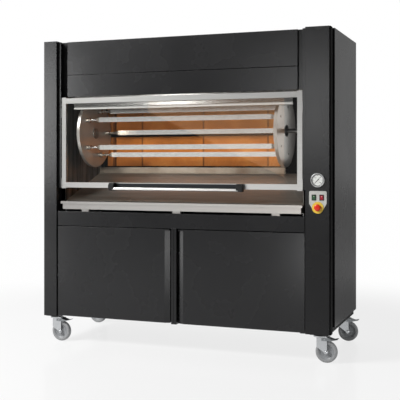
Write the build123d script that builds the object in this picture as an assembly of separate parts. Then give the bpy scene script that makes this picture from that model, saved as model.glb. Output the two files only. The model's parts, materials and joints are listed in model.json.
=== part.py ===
from build123d import *
import math
import os

os.makedirs("parts", exist_ok=True)

# The oven stands on the floor, with its front towards -Y and the drive at +X.
# All sizes are millimetres. Heights are stacked up from the floor, depths run back from the
# pillars' faces, and each piece takes its place from the one that carries it.

# Sheet and clearances
sheet = 2.0
seat_gap = 0.3
overcut = 1.0
fit_gap = 0.08
panel_gap = 5.0

# Casing
face_width = 1834.0
post_step = 6.0
side_step = 6.0
side_panel_lift = 32.0
service_depth = 148.0
left_pillar_width = 90.0
right_pillar_width = 138.0
pillar_depth = 70.0
corner_rebate = 10.0
post_strip_width = 48.0
pillar_flange_width = 25.0
side_panel_setback = 92.0
tube_size = 40.0
tube_wall = 3.0
caster_headroom = 38.0
cover_step = 4.0

# Heights of the front's pieces, from the cabinet doors up to the hood
cabinet_door_height = 564.0
apron_height = 89.0
tray_gap = 14.0
tray_face_height = 49.0
glass_sill_height = 87.0
door_height = 563.0
roof_gap = 12.0
lower_hood_height = 135.0
upper_hood_height = 210.0

# Front opening
guide_lip_width = 20.0
guide_setback = 20.0
guide_rear_depth = 62.0
hood_setback = 42.0
hood_side_gap = 55.0
hood_seam_width = 3.0
pan_depth = 28.0

# Sliding glass door
door_side_gap = 23.0
door_setback = 26.0
stile_width = 30.0
stile_depth = 30.0
stile_ear_height = 5.0
rail_height = 33.0
rail_depth = 12.0
glass_thickness = 4.0
glass_rebate = 8.0
door_stop_gap = 17.0
shoe_height = 60.0
lug_height = 16.0
lug_depth = 10.0
lug_drop = 30.0

# Door handle
handle_reach = 19.0
handle_block_width = 34.0
handle_block_height = 47.0
handle_block_drop = 15.0
handle_block_inset = 367.0
handle_facet = 12.0
handle_tube_radius = 9.0
handle_tube_setback = 7.0
handle_tube_rise = 12.0
handle_engagement = 10.0

# Gas struts beside the door
strut_inset = 47.0
strut_cylinder_radius = 11.0
strut_spare_length = 32.0
strut_rod_radius = 4.0
strut_foot_size = 14.0

# Drip tray
tray_lip_height = 15.0
tray_lip_width = 10.0
tray_side_gap = 21.0
tray_setback = 16.0
tray_depth = 545.0
tray_travel = 420.0
tray_pad_width = 50.0
tray_pad_depth = 26.0
tray_pad_setback = 12.0
tray_pad_inset = 162.0
runner_leg = 30.0

# Apron, cabinet doors and centre post
lower_setback = 8.0
cabinet_door_depth = 20.0
grip_width = 32.0
grip_setback = 12.0
grip_drop = 8.0
post_width = 34.0
post_offset = 4.0
post_door_gap = 11.0
post_groove_width = 3.0
hinge_pin_radius = 4.0
hinge_pin_inset = 9.0
hinge_pin_setback = 10.0
hinge_pin_engagement = 16.0
hinge_bracket_thickness = 4.0

# Cooking chamber
chamber_left_gap = 6.0
chamber_right_gap = 4.0
chamber_floor_rise = 8.0
tile_thickness = 40.0
tile_pitch = 443.0
tile_joint_width = 2.0
tile_left_gap = 113.0
tile_right_gap = 276.0
tile_joint_offset = 21.0
side_tile_width = 39.0
side_tile_gap = 26.0
tile_ledge_gap = 9.0
lower_tile_height = 197.0
tile_slot_height = 24.0
visor_end_gap = 62.0
visor_setback = 66.0
visor_drop = 62.0
visor_hem_height = 14.0
visor_slant_depth = 10.0

# Ember trough, its grate and the sloping floor
ledge_rise = 172.0
ledge_height = 40.0
ledge_right_gap = 232.0
ember_depth = 27.0
grate_bar_width = 8.0
grate_bar_height = 10.0
grate_pitch = 36.0
grate_rise = 11.0
grate_foot_width = 12.0
slope_setback = 72.0
slope_front_rise = 4.0
guard_width = 260.0

# Rotor and its planetary drive
disc_margin = 70.0
disc_roof_gap = 4.0
disc_front_gap = 18.0
disc_back_gap = 15.0
disc_thickness = 20.0
plate_thickness = 4.0
rim_wall = 3.0
left_disc_inset = 92.0
right_disc_inset = 162.0
spit_circle_radius = 150.0
spit_count = 5
first_spit_angle = 75.0
sun_teeth = 45
planet_teeth = 15
gear_width = 8.0
tooth_thinning = 0.3
tooth_addendum = 0.9
tooth_dedendum = 1.25
tooth_root_step = 0.2
pressure_angle = 20.0
sleeve_radius = 22.0
sleeve_gap = 1.0
shaft_radius = 14.0
shaft_end_length = 12.0
hub_radius = 13.0
hub_flange_radius = 35.0
hub_flange_width = 5.0
wall_flange_radius = 55.0
wall_flange_width = 8.0
bearing_size = 90.0
bearing_width = 20.0

# Spits
spit_size = 30.0
spit_wall = 2.0
spit_pin_radius = 7.0
spit_left_gap = 97.0
spit_right_gap = 36.0
spit_taper_length = 24.0
collar_radius = 15.0
collar_width = 8.0
socket_length = 20.0

# Lay shaft, chains and gear motor
lay_shaft_gap = 38.0
lay_shaft_radius = 12.0
lay_shaft_end_gap = 3.0
sprocket_radius = 42.0
sprocket_teeth = 16
sprocket_tooth_height = 6.0
sprocket_width = 6.0
chain_height = 10.0
chain_width = 10.0
left_sprocket_gap = 23.0
right_sprocket_gap = 53.0
hanger_width = 20.0
hanger_inset = 150.0
gearbox_inset = 41.0
gearbox_width = 70.0
gearbox_depth = 80.0
gearbox_height = 120.0
motor_radius = 42.0
motor_length = 190.0
motor_foot_height = 54.0

# Flue
flue_radius = 100.0
flue_wall = 2.0
flue_back_gap = 22.0
flue_rise = 45.0
flue_flange_radius = 125.0
flue_flange_thickness = 3.0

# Controls on the right pillar
control_inset = 65.0
switch_drop = 40.0
gauge_rise = 98.0
stop_drop = 57.0
gauge_radius = 40.0
gauge_bezel_width = 5.0
gauge_reach = 12.0
gauge_dial_depth = 6.0
gauge_stem_radius = 6.0
gauge_stem_length = 60.0
needle_length = 25.0
needle_tail_length = 12.0
needle_width = 4.0
needle_thickness = 1.5
needle_pin_radius = 2.0
needle_gap = 1.0
needle_angle = 225.0
lens_inset = 0.5
lens_thickness = 2.0
plate_width = 100.0
plate_above_switches = 37.0
plate_below_switches = 34.0
plate_corner_radius = 8.0
plate_sheet = 2.0
plate_taper_angle = 28.0
stop_ring_radius = 33.0
stop_ring_width = 3.0
stop_ring_border = 1.0
stop_cap_radius = 19.0
stop_cap_width = 9.0
stop_stem_radius = 11.0
stop_travel = 4.0
stop_gap = 1.0
switch_spacing = 44.0
bezel_width = 25.0
bezel_height = 33.0
bezel_wall = 2.5
bezel_reach = 3.0
bezel_depth = 16.0
rocker_clearance = 0.4
rocker_end_gap = 1.0
rocker_swing = 12.0
rocker_reach = 4.0
rocker_back_depth = 4.0
rocker_pivot_depth = 3.0
nub_length = 1.5
nub_radius = 1.5

# Casters
wheel_radius = 62.5
wheel_width = 32.0
wheel_recess = 6.0
wheel_rim = 14.0
wheel_hub_radius = 16.0
axle_radius = 5.0
axle_head_radius = 8.0
axle_head_width = 5.0
caster_trail = 38.0
caster_right_inset = 65.0
caster_left_inset = 59.0
caster_front_inset = 55.0
caster_rear_inset = 60.0
caster_plate_length = 100.0
caster_plate_width = 85.0
caster_plate_thickness = 4.0
king_pin_radius = 8.0
king_collar_radius = 32.0
king_collar_height = 6.0
crown_radius = 37.0
crown_height = 7.0
fork_wall = 3.0
fork_gap = 2.5
fork_front_length = 16.0
fork_foot_radius = 6.0
fork_foot_height = 14.0
fork_shoulder_height = 27.0
pedal_pivot = 30.0
pedal_drop = 19.0
pedal_pin_radius = 3.0
pedal_gap = 0.8
pedal_wall = 3.0
pedal_plate_gap = 4.0
pedal_arm_length = 17.0
pedal_arm_height = 7.0
pedal_hump_rise = 13.0
pedal_neck_length = 30.0
pedal_neck_rise = 6.0
pedal_dip_length = 52.0
pedal_dip_rise = 0.0
pedal_length = 74.0
pedal_tip_rise = 5.0
pedal_skirt = 15.0
brake_shoe_gap = 2.6
brake_shoe_inset = 8.0
brake_shoe_length = 10.0

# Cooling slots, drive cover, entry plate and cable gland at the back
vent_width = 90.0
vent_height = 6.0
vent_pitch = 22.0
vent_rows = 6
vent_columns = 4
vent_spacing = 300.0
vent_rise = 225.0
drive_cover_width = 160.0
entry_plate_height = 110.0
gland_radius = 14.0
gland_length = 25.0
gland_bore_radius = 5.0

# Heights from the floor
underside = 2 * wheel_radius + caster_headroom
side_panel_bottom = underside + side_panel_lift
cabinet_door_bottom = underside + panel_gap
cabinet_door_top = cabinet_door_bottom + cabinet_door_height
apron_bottom = cabinet_door_top + panel_gap
apron_top = apron_bottom + apron_height
tray_face_bottom = apron_top + tray_gap
tray_lip_top = tray_face_bottom + tray_face_height
chamber_floor = tray_lip_top + chamber_floor_rise
ledge_bottom = tray_lip_top + ledge_rise
ledge_top = ledge_bottom + ledge_height
lower_tile_bottom = ledge_top + tile_ledge_gap
lower_tile_top = lower_tile_bottom + lower_tile_height
upper_tile_bottom = lower_tile_top + tile_slot_height
door_bottom = tray_lip_top + glass_sill_height
door_top = door_bottom + door_height
hood_bottom = door_top + roof_gap
roof_under = hood_bottom - sheet
hood_seam = hood_bottom + lower_hood_height
hood_top = hood_seam + upper_hood_height
casing_height = hood_top + cover_step
flue_top = casing_height + flue_rise
door_travel = hood_top - door_top - door_stop_gap
disc_radius = spit_circle_radius + disc_margin
rotor_height = roof_under - disc_radius - disc_roof_gap
switch_height = door_bottom - switch_drop
gauge_height = switch_height + gauge_rise
stop_height = switch_height - stop_drop

# Depths, with the bounding box centred on Y
rotor_depth = guide_rear_depth + disc_front_gap + disc_radius
ledge_depth = rotor_depth + disc_radius + disc_back_gap
tile_depth = ledge_depth + ember_depth
casing_depth = tile_depth + tile_thickness + service_depth
front = (handle_reach - casing_depth) / 2
back = front + casing_depth
frame_front = front + pillar_depth
frame_back = back - sheet - seat_gap - tube_size
door_front = front + door_setback
door_back = door_front + stile_depth
rotor_y = front + rotor_depth
trough_front = front + ledge_depth
tile_front = front + tile_depth
chamber_rear = tile_front + tile_thickness
lay_y = chamber_rear + lay_shaft_gap
flue_y = chamber_rear - flue_back_gap - flue_radius

# Widths, with the casing centred on X and the opening a little to the left
face_half = face_width / 2
post_half = face_half + post_step
side_half = post_half + side_step
opening_left = left_pillar_width - face_half
opening_right = face_half - right_pillar_width
opening_x = (opening_left + opening_right) / 2
opening_half = (opening_right - opening_left) / 2
tube_outer = face_half - 2 * sheet
tube_inner = tube_outer - tube_size
door_half = opening_half - door_side_gap
rail_half = door_half - stile_width
wall_left = opening_x - door_half + chamber_left_gap
wall_right = opening_x + door_half - chamber_right_gap
left_disc_face = wall_left + left_disc_inset
right_disc_face = wall_right - right_disc_inset
control_x = face_half - control_inset
frame_top = hood_top


def block(x0, x1, y0, y1, z0, z1):
    """A box given by its two opposite corners."""
    centre = Pos((x0 + x1) / 2, (y0 + y1) / 2, (z0 + z1) / 2)
    return centre * Box(x1 - x0, y1 - y0, z1 - z0)


def rod_x(x0, x1, y, z, radius):
    """A cylinder along X."""
    return Pos((x0 + x1) / 2, y, z) * Rot(0, 90, 0) * Cylinder(radius, x1 - x0)


def rod_y(x, y0, y1, z, radius):
    """A cylinder along Y."""
    return Pos(x, (y0 + y1) / 2, z) * Rot(90, 0, 0) * Cylinder(radius, y1 - y0)


def rod_z(x, y, z0, z1, radius):
    """A cylinder along Z."""
    return Pos(x, y, (z0 + z1) / 2) * Cylinder(radius, z1 - z0)


def column(points, z0, z1):
    """A plan outline of (x, y) points, raised from z0 to z1."""
    outline = make_face(Polyline(*[(x, y, z0) for x, y in points], close=True))
    return extrude(outline, amount=z1 - z0, dir=(0, 0, 1))


def slab_x(points, x0, x1):
    """A side outline of (y, z) points, stretched from x0 to x1."""
    outline = make_face(Polyline(*[(x0, y, z) for y, z in points], close=True))
    return extrude(outline, amount=x1 - x0, dir=(1, 0, 0))


def slab_y(points, y0, y1):
    """A front outline of (x, z) points, stretched from y0 to y1."""
    outline = make_face(Polyline(*[(x, y0, z) for x, z in points], close=True))
    return extrude(outline, amount=y1 - y0, dir=(0, 1, 0))


def save(name, *pieces):
    """Write one node as one STEP file."""
    shape = pieces[0] if len(pieces) == 1 else Compound(children=list(pieces))
    shape.label = name
    export_step(shape, f"parts/{name}.step")


# Chassis of square tube
def tube_along(axis, a0, a1, b0, c0):
    """A square tube from a0 to a1 along an axis, its section's low corner at b0, c0."""
    b1 = b0 + tube_size
    c1 = c0 + tube_size
    inner_b = (b0 + tube_wall, b1 - tube_wall)
    inner_c = (c0 + tube_wall, c1 - tube_wall)
    if axis == "x":
        return block(a0, a1, b0, b1, c0, c1) - block(a0, a1, *inner_b, *inner_c)
    if axis == "y":
        return block(b0, b1, a0, a1, c0, c1) - block(*inner_b, a0, a1, *inner_c)
    return block(b0, b1, c0, c1, a0, a1) - block(*inner_b, *inner_c, a0, a1)


mid_rail_bottom = tray_face_bottom - runner_leg - tube_size
cross_rail_levels = [underside, mid_rail_bottom, hood_bottom, frame_top - tube_size]
chassis = []
for side_x in (-tube_outer, tube_inner):
    for post_y in (frame_front, frame_back):
        chassis.append(tube_along("z", underside, frame_top, side_x, post_y))
    for level in cross_rail_levels:
        chassis.append(tube_along("y", frame_front + tube_size, frame_back, side_x, level))
for level in cross_rail_levels:
    chassis.append(tube_along("x", -tube_inner, tube_inner, frame_front, level))
for level in (underside, mid_rail_bottom, frame_top - tube_size):
    chassis.append(tube_along("x", -tube_inner, tube_inner, frame_back, level))
save("chassis_frame", *chassis)


# Pillars: folded covers with a stepped outer corner and a slot for the door's lug
rebate_back = front + corner_rebate + post_strip_width
slot_bottom = door_top - lug_drop - lug_height - panel_gap
slot_top = door_top - lug_drop + door_travel + panel_gap
lug_y = door_front + stile_depth / 2
lug_slot = lug_depth + 2 * panel_gap


def pillar_outline(inner_edge, wall):
    """Plan outline of the left pillar cover, drawn in by a wall thickness."""
    rear = front + pillar_depth + wall
    return [
        (inner_edge - wall, front + wall),
        (inner_edge - wall, rear),
        (-face_half + wall, rear),
        (-face_half + wall, rebate_back - wall),
        (-post_half + wall, rebate_back - wall),
        (-post_half + wall, front + corner_rebate + wall),
        (-face_half + wall, front + corner_rebate + wall),
        (-face_half + wall, front + wall),
    ]


def pillar(width):
    """A left pillar cover of the given face width."""
    inner_edge = width - face_half
    shell = column(pillar_outline(inner_edge, 0.0), underside, casing_height)
    shell -= column(pillar_outline(inner_edge, sheet), underside, casing_height - sheet)
    for flange_x in (-face_half + sheet, inner_edge - sheet - pillar_flange_width):
        flange_edges = (flange_x, flange_x + pillar_flange_width)
        shell += block(*flange_edges, frame_front - sheet, frame_front, underside, casing_height)
    slot_wall = (inner_edge - 2 * sheet, inner_edge + sheet)
    slot_y = (lug_y - lug_slot / 2, lug_y + lug_slot / 2)
    shell -= block(*slot_wall, *slot_y, slot_bottom, slot_top)
    return shell


save("left_pillar", pillar(left_pillar_width))
face_cut = (front - sheet, front + 2 * sheet)
control_holes = rod_y(control_x, *face_cut, gauge_height, gauge_stem_radius + seat_gap)
control_holes += rod_y(control_x, *face_cut, stop_height, stop_stem_radius + seat_gap)
switch_places = [control_x - switch_spacing / 2, control_x + switch_spacing / 2]
body_half_width = bezel_width / 2 - bezel_wall + seat_gap
body_half_height = bezel_height / 2 - bezel_wall + seat_gap
for switch_x in switch_places:
    control_holes += block(
        switch_x - body_half_width,
        switch_x + body_half_width,
        *face_cut,
        switch_height - body_half_height,
        switch_height + body_half_height,
    )
save("right_pillar", mirror(pillar(right_pillar_width), about=Plane.YZ) - control_holes)


# Side panels with folded edges that close onto the chassis tubes
def side_panel():
    """The left side panel as an open pan."""
    start = front + side_panel_setback
    shell = block(-side_half, -tube_outer, start, back, side_panel_bottom, casing_height)
    shell -= block(
        -side_half + sheet,
        -tube_outer,
        start + sheet,
        back - sheet,
        side_panel_bottom + sheet,
        casing_height - sheet,
    )
    return shell


save("left_side_panel", side_panel())
save("right_side_panel", mirror(side_panel(), about=Plane.YZ))

# Rear wall: the main panel with rows of cooling slots, the cover over the drive in the right rear
# corner, and below it the entry plate with the supply cable's gland
rear_top = casing_height - sheet
cover_edge = tube_outer - drive_cover_width
entry_top = side_panel_bottom + entry_plate_height
gland_x = (cover_edge + tube_inner) / 2
gland_height = (underside + tube_size + entry_top) / 2
rear_cut = (back - 2 * sheet, back + sheet)
rear_panel = block(-tube_outer, cover_edge - seat_gap, back - sheet, back, side_panel_bottom, rear_top)
vents = []
for row in range(vent_rows):
    for place in range(vent_columns):
        vent_x = (place - (vent_columns - 1) / 2) * vent_spacing
        vent_z = side_panel_bottom + vent_rise + row * vent_pitch
        vents.append(
            block(
                vent_x - vent_width / 2,
                vent_x + vent_width / 2,
                *rear_cut,
                vent_z - vent_height / 2,
                vent_z + vent_height / 2,
            )
        )
rear_panel -= vents
drive_cover = block(cover_edge, tube_outer, back - sheet, back, entry_top + seat_gap, rear_top)
entry_plate = block(cover_edge, tube_outer, back - sheet, back, side_panel_bottom, entry_top)
entry_plate -= rod_y(gland_x, *rear_cut, gland_height, gland_radius + seat_gap)
gland = rod_y(gland_x, back - gland_length, back, gland_height, gland_radius)
gland -= rod_y(gland_x, back - 2 * gland_length, back + sheet, gland_height, gland_bore_radius)
save("rear_panel", rear_panel, drive_cover, entry_plate, gland)

# Top panel, with the flue passing through it
panel_top = frame_top + sheet
top_panel = block(-tube_outer, tube_outer, frame_front, back - sheet, frame_top, panel_top)
top_panel -= rod_z(opening_x, flue_y, frame_top - sheet, panel_top + sheet, flue_radius + seat_gap)
save("top_panel", top_panel)
flue = rod_z(opening_x, flue_y, hood_bottom, flue_top, flue_radius)
flue += rod_z(opening_x, flue_y, panel_top, panel_top + flue_flange_thickness, flue_flange_radius)
flue -= rod_z(opening_x, flue_y, hood_bottom - sheet, flue_top + sheet, flue_radius - flue_wall)
save("flue_duct", flue)


# Hood, apron and centre post
def front_pan(x0, x1, setback, depth, z0, z1):
    """A folded front panel, open at the back."""
    y0 = front + setback
    pan = block(x0, x1, y0, y0 + depth, z0, z1)
    pan -= block(x0 + sheet, x1 - sheet, y0 + sheet, y0 + depth, z0 + sheet, z1 - sheet)
    return pan


hood_half = opening_half - hood_side_gap
hood_edges = (opening_x - hood_half, opening_x + hood_half)
seam_half = hood_seam_width / 2
lower_hood = front_pan(*hood_edges, hood_setback, pan_depth, hood_bottom, hood_seam - seam_half)
upper_hood = front_pan(*hood_edges, hood_setback, pan_depth, hood_seam + seam_half, hood_top)
save("hood_panels", lower_hood, upper_hood)

apron_edges = (opening_left + panel_gap, opening_right - panel_gap)
apron_depth = pillar_depth - lower_setback
apron = front_pan(*apron_edges, lower_setback, apron_depth, apron_bottom, apron_top)
post_x = opening_x - post_offset
post_edges = (post_x - post_width / 2, post_x + post_width / 2)
post_setback = lower_setback - sheet
centre_post = front_pan(*post_edges, post_setback, apron_depth + sheet, underside, apron_bottom)
groove_edges = (post_x - post_groove_width / 2, post_x + post_groove_width / 2)
centre_post -= block(*groove_edges, front, front + lower_setback - sheet / 2, underside, apron_bottom)
save("apron_panel", apron, centre_post)

# Cabinet floor, with the cabinet doors' hinge brackets and pins
lower_front = front + lower_setback
hinge_y = lower_front + hinge_pin_setback
left_hinge_x = apron_edges[0] + hinge_pin_inset
right_hinge_x = apron_edges[1] - hinge_pin_inset
floor_level = underside + tube_size
frame_rear = frame_back + tube_size
cabinet_floor = block(-tube_inner, tube_inner, frame_front, frame_rear, floor_level, floor_level + sheet)
hinge_parts = [cabinet_floor]
bracket_top = cabinet_door_bottom - seat_gap
pin_top = cabinet_door_bottom + hinge_pin_engagement
pin_bottom = cabinet_door_top - hinge_pin_engagement
for hinge_x in (left_hinge_x, right_hinge_x):
    bracket_x = (hinge_x - hinge_pin_inset, hinge_x + 2 * hinge_pin_inset)
    if hinge_x > opening_x:
        bracket_x = (hinge_x - 2 * hinge_pin_inset, hinge_x + hinge_pin_inset)
    bracket_z = (bracket_top - hinge_bracket_thickness, bracket_top)
    bracket = block(*bracket_x, lower_front, frame_front, *bracket_z)
    bracket += rod_z(hinge_x, hinge_y, bracket_top, pin_top, hinge_pin_radius)
    hinge_parts.append(bracket)
    hinge_parts.append(rod_z(hinge_x, hinge_y, pin_bottom, apron_bottom, hinge_pin_radius))
save("cabinet_floor", *hinge_parts)


# Cabinet doors: folded pans whose meeting edge bends back as a grip
def cabinet_door(x0, x1, hinge_x):
    """The left cabinet door from its hinge edge x0 to its grip edge x1."""
    y0 = lower_front
    y1 = y0 + cabinet_door_depth
    grip_x = x1 - grip_width
    outline = [(x0, y0), (grip_x, y0), (x1, y0 + grip_setback), (x1, y1), (x0, y1)]
    panel = column(outline, cabinet_door_bottom, cabinet_door_top)
    strip = [(grip_x, y0), (x1, y0), (x1, y0 + grip_setback)]
    head = column(strip, cabinet_door_top - grip_drop, cabinet_door_top)
    panel += head
    barrel = 2 * hinge_pin_inset
    pocket = [
        (x0 + barrel, y0 + sheet),
        (grip_x - sheet, y0 + sheet),
        (grip_x - sheet, y1),
        (x0 + barrel, y1),
    ]
    panel -= column(pocket, cabinet_door_bottom + sheet, cabinet_door_top - sheet)
    pin_hole = hinge_pin_radius + fit_gap
    depth = hinge_pin_engagement + sheet
    panel -= rod_z(hinge_x, hinge_y, cabinet_door_bottom, cabinet_door_bottom + depth, pin_hole)
    panel -= rod_z(hinge_x, hinge_y, cabinet_door_top - depth, cabinet_door_top, pin_hole)
    return panel


save("left_cabinet_door", cabinet_door(apron_edges[0], post_edges[0] - post_door_gap, left_hinge_x))
right_door = cabinet_door(-apron_edges[1], -post_edges[1] - post_door_gap, -right_hinge_x)
save("right_cabinet_door", mirror(right_door, about=Plane.YZ))


# Door guides: channels on the pillars' inner walls, with a slot for the lugs and a wide rear
# flange that closes the gap beside the hood
def door_guide():
    """The left guide channel."""
    x0 = opening_left
    x1 = opening_left + guide_lip_width
    y0 = front + guide_setback
    y1 = front + guide_rear_depth
    channel = block(x0, x1, y0, y1, door_bottom, hood_top)
    channel -= block(x0 + sheet, x1, y0 + sheet, y1 - sheet, door_bottom, hood_top)
    channel += block(x1, hood_edges[0] - seat_gap, y1 - sheet, y1, hood_bottom, hood_top)
    slot_y = (lug_y - lug_slot / 2, lug_y + lug_slot / 2)
    channel -= block(x0, x0 + sheet, *slot_y, slot_bottom, slot_top)
    return channel


def across_opening(shape):
    """The mirror image about the middle of the front opening."""
    return mirror(shape, about=Plane.YZ.offset(opening_x))


save("door_guides", door_guide(), across_opening(door_guide()))


# Glass door
stile_bottom = door_bottom - stile_ear_height
stile_top = door_top + stile_ear_height
rail_back = door_front + rail_depth
shoe_edge = opening_left + sheet + seat_gap
shoe_front = front + guide_setback + sheet + seat_gap
shoe_back = front + guide_rear_depth - sheet - seat_gap
glass_y0 = door_front + (rail_depth - glass_thickness) / 2
glass_y1 = glass_y0 + glass_thickness
strut_x = opening_left - strut_inset
lug_bottom = door_top - lug_drop - lug_height
lug_top = door_top - lug_drop


def stile():
    """The left stile, a channel open to the back, with its two guide shoes and the strut lug."""
    x0 = opening_x - door_half
    x1 = x0 + stile_width
    upright = block(x0, x1, door_front, door_back, stile_bottom, stile_top)
    upright -= block(
        x0 + sheet,
        x1 - glass_rebate - sheet,
        door_front + sheet,
        door_back,
        stile_bottom + sheet,
        stile_top - sheet,
    )
    for shoe_z in (door_bottom, slot_bottom - shoe_height - 2 * panel_gap):
        upright += block(shoe_edge, x0, shoe_front, shoe_back, shoe_z, shoe_z + shoe_height)
    lug_reach = strut_x - strut_rod_radius - sheet
    upright += block(lug_reach, x0, lug_y - lug_depth / 2, lug_y + lug_depth / 2, lug_bottom, lug_top)
    return upright


rail_edges = (opening_x - rail_half, opening_x + rail_half)
door_frame = stile() + across_opening(stile())
pane_edges = (rail_edges[0] - glass_rebate, rail_edges[1] + glass_rebate)
pane_bottom = door_bottom + rail_height - glass_rebate
pane_top = door_top - rail_height + glass_rebate
rail_spans = [
    (door_bottom, door_bottom + rail_height, door_bottom + sheet, pane_bottom - sheet),
    (door_top - rail_height, door_top, pane_top + sheet, door_top - sheet),
]
for rail_z0, rail_z1, channel_z0, channel_z1 in rail_spans:
    door_frame += block(*rail_edges, door_front, rail_back, rail_z0, rail_z1)
    door_frame -= block(*rail_edges, door_front + sheet, rail_back, channel_z0, channel_z1)
door_frame -= block(
    pane_edges[0] - seat_gap,
    pane_edges[1] + seat_gap,
    glass_y0 - seat_gap,
    glass_y1 + seat_gap,
    pane_bottom - seat_gap,
    pane_top + seat_gap,
)
save("door_frame", door_frame)
save("door_glass", block(*pane_edges, glass_y0, glass_y1, pane_bottom, pane_top))


# Handle: a polished tube between two faceted end blocks
tube_y = front - handle_tube_setback
block_front = front - handle_reach
handle_block_bottom = door_bottom - handle_block_drop
handle_tube_height = handle_block_bottom + handle_tube_rise
handle_block_offset = door_half - handle_block_inset
tube_half = handle_block_offset - handle_block_width / 2 + handle_engagement
tube_span = (opening_x - tube_half, opening_x + tube_half)


def handle_block(centre_x):
    """One end block, with its front edges cut back as facets."""
    x0 = centre_x - handle_block_width / 2
    x1 = centre_x + handle_block_width / 2
    z0 = handle_block_bottom
    z1 = handle_block_bottom + handle_block_height
    side = [
        (block_front + handle_facet, z0),
        (door_front, z0),
        (door_front, z1),
        (block_front + handle_facet, z1),
        (block_front, z1 - handle_facet),
        (block_front, z0 + handle_facet),
    ]
    return slab_x(side, x0, x1)


handle_tube = rod_x(*tube_span, tube_y, handle_tube_height, handle_tube_radius)
handle_tube -= rod_x(*tube_span, tube_y, handle_tube_height, handle_tube_radius - sheet)
save("handle_tube", handle_tube)
socket = rod_x(*tube_span, tube_y, handle_tube_height, handle_tube_radius + fit_gap)
left_handle_block = handle_block(opening_x - handle_block_offset) - socket
right_handle_block = handle_block(opening_x + handle_block_offset) - socket
save("handle_blocks", left_handle_block, right_handle_block)


# Gas struts: cylinders on the pillars, rods that carry the door's lugs
strut_top = lug_bottom - seat_gap - sheet
strut_bottom = strut_top - door_travel - strut_spare_length


def strut_cylinder():
    """The left strut's cylinder, open at the top, with its foot on the pillar's wall."""
    top = strut_top
    bottom = strut_bottom
    body = rod_z(strut_x, lug_y, bottom, top, strut_cylinder_radius)
    foot_x = (strut_x, opening_left - sheet)
    foot_y = (lug_y - strut_foot_size / 2, lug_y + strut_foot_size / 2)
    body += block(*foot_x, *foot_y, bottom, bottom + strut_foot_size)
    body -= rod_z(strut_x, lug_y, bottom + strut_foot_size, top + sheet, strut_rod_radius + fit_gap)
    return body


def strut_rod():
    """The left strut's rod, from under the lug down into the cylinder."""
    bottom = strut_bottom + strut_foot_size + seat_gap
    return rod_z(strut_x, lug_y, bottom, lug_bottom, strut_rod_radius)


save("strut_cylinders", strut_cylinder(), across_opening(strut_cylinder()))
save("strut_rods", strut_rod(), across_opening(strut_rod()))


# Drip tray: a shallow pan with a rolled lip, a front face and three pads
tray_half = opening_half - tray_side_gap
tray_body_half = tray_half - tray_lip_width
tray_front = front + tray_setback
tray_back = tray_front + tray_depth
tray_body_front = tray_front + tray_lip_width
tray_floor = tray_face_bottom
tray = block(
    opening_x - tray_body_half,
    opening_x + tray_body_half,
    tray_body_front,
    tray_back,
    tray_floor,
    tray_lip_top - sheet,
)
tray += block(
    opening_x - tray_half,
    opening_x + tray_half,
    tray_front,
    tray_back,
    tray_lip_top - tray_lip_height,
    tray_lip_top,
)
lip_hollow = block(
    opening_x - tray_half + sheet,
    opening_x + tray_half - sheet,
    tray_front + sheet,
    tray_back,
    tray_lip_top - tray_lip_height,
    tray_lip_top - sheet,
)
lip_hollow -= block(
    opening_x - tray_body_half,
    opening_x + tray_body_half,
    tray_body_front,
    tray_back,
    tray_floor,
    tray_lip_top,
)
tray -= lip_hollow
tray -= block(
    opening_x - tray_body_half + sheet,
    opening_x + tray_body_half - sheet,
    tray_body_front + sheet,
    tray_back - sheet,
    tray_floor + sheet,
    tray_lip_top,
)
tray_pad_offset = tray_half - tray_pad_inset
tray_pad_front = tray_body_front + tray_pad_setback
for offset in (-tray_pad_offset, 0.0, tray_pad_offset):
    tray += block(
        opening_x + offset - tray_pad_width / 2,
        opening_x + offset + tray_pad_width / 2,
        tray_pad_front,
        tray_pad_front + tray_pad_depth,
        apron_top + seat_gap,
        tray_floor,
    )
save("drip_tray", tray)

runner_top = tray_floor - seat_gap
rail_top = mid_rail_bottom + tube_size


def tray_runner():
    """The left runner, an angle that stands on the cross rails."""
    x0 = opening_x - tray_body_half - sheet
    leg = block(x0 - sheet, x0, frame_front, frame_rear, rail_top, runner_top)
    leg += block(x0, x0 + runner_leg, frame_front, frame_rear, runner_top - sheet, runner_top)
    return leg


save("tray_runners", tray_runner(), across_opening(tray_runner()))


# Cooking chamber: side walls, roof and back plate with the tile shelves
chamber_front = front + guide_rear_depth + sheet
shell = block(wall_left - sheet, wall_left, chamber_front, chamber_rear, chamber_floor, roof_under)
shell += block(wall_right, wall_right + sheet, chamber_front, chamber_rear, chamber_floor, roof_under)
shell += block(opening_left, opening_right, chamber_front, chamber_rear + sheet, roof_under, hood_bottom)
roof_half = tube_outer - panel_gap
roof_front = frame_front + tube_size
shell += block(-roof_half, roof_half, roof_front, chamber_rear + sheet, roof_under, hood_bottom)
shell += block(
    wall_left - sheet, wall_right + sheet, chamber_rear, chamber_rear + sheet, chamber_floor, roof_under
)
tile_start = wall_left + tile_left_gap
tile_end = wall_right - tile_right_gap
shelf_front = tile_front + sheet
for shelf_top in (lower_tile_bottom - seat_gap, upper_tile_bottom - seat_gap):
    shell += block(wall_left, tile_end, shelf_front, chamber_rear, shelf_top - sheet, shelf_top)
shell -= rod_z(opening_x, flue_y, roof_under - sheet, hood_bottom + sheet, flue_radius - flue_wall)
shell -= rod_x(wall_left - 2 * sheet, wall_left + sheet, rotor_y, rotor_height, sleeve_radius)
shell -= rod_x(wall_right - sheet, wall_right + 2 * sheet, rotor_y, rotor_height, sleeve_radius)
save("chamber_shell", shell)

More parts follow.
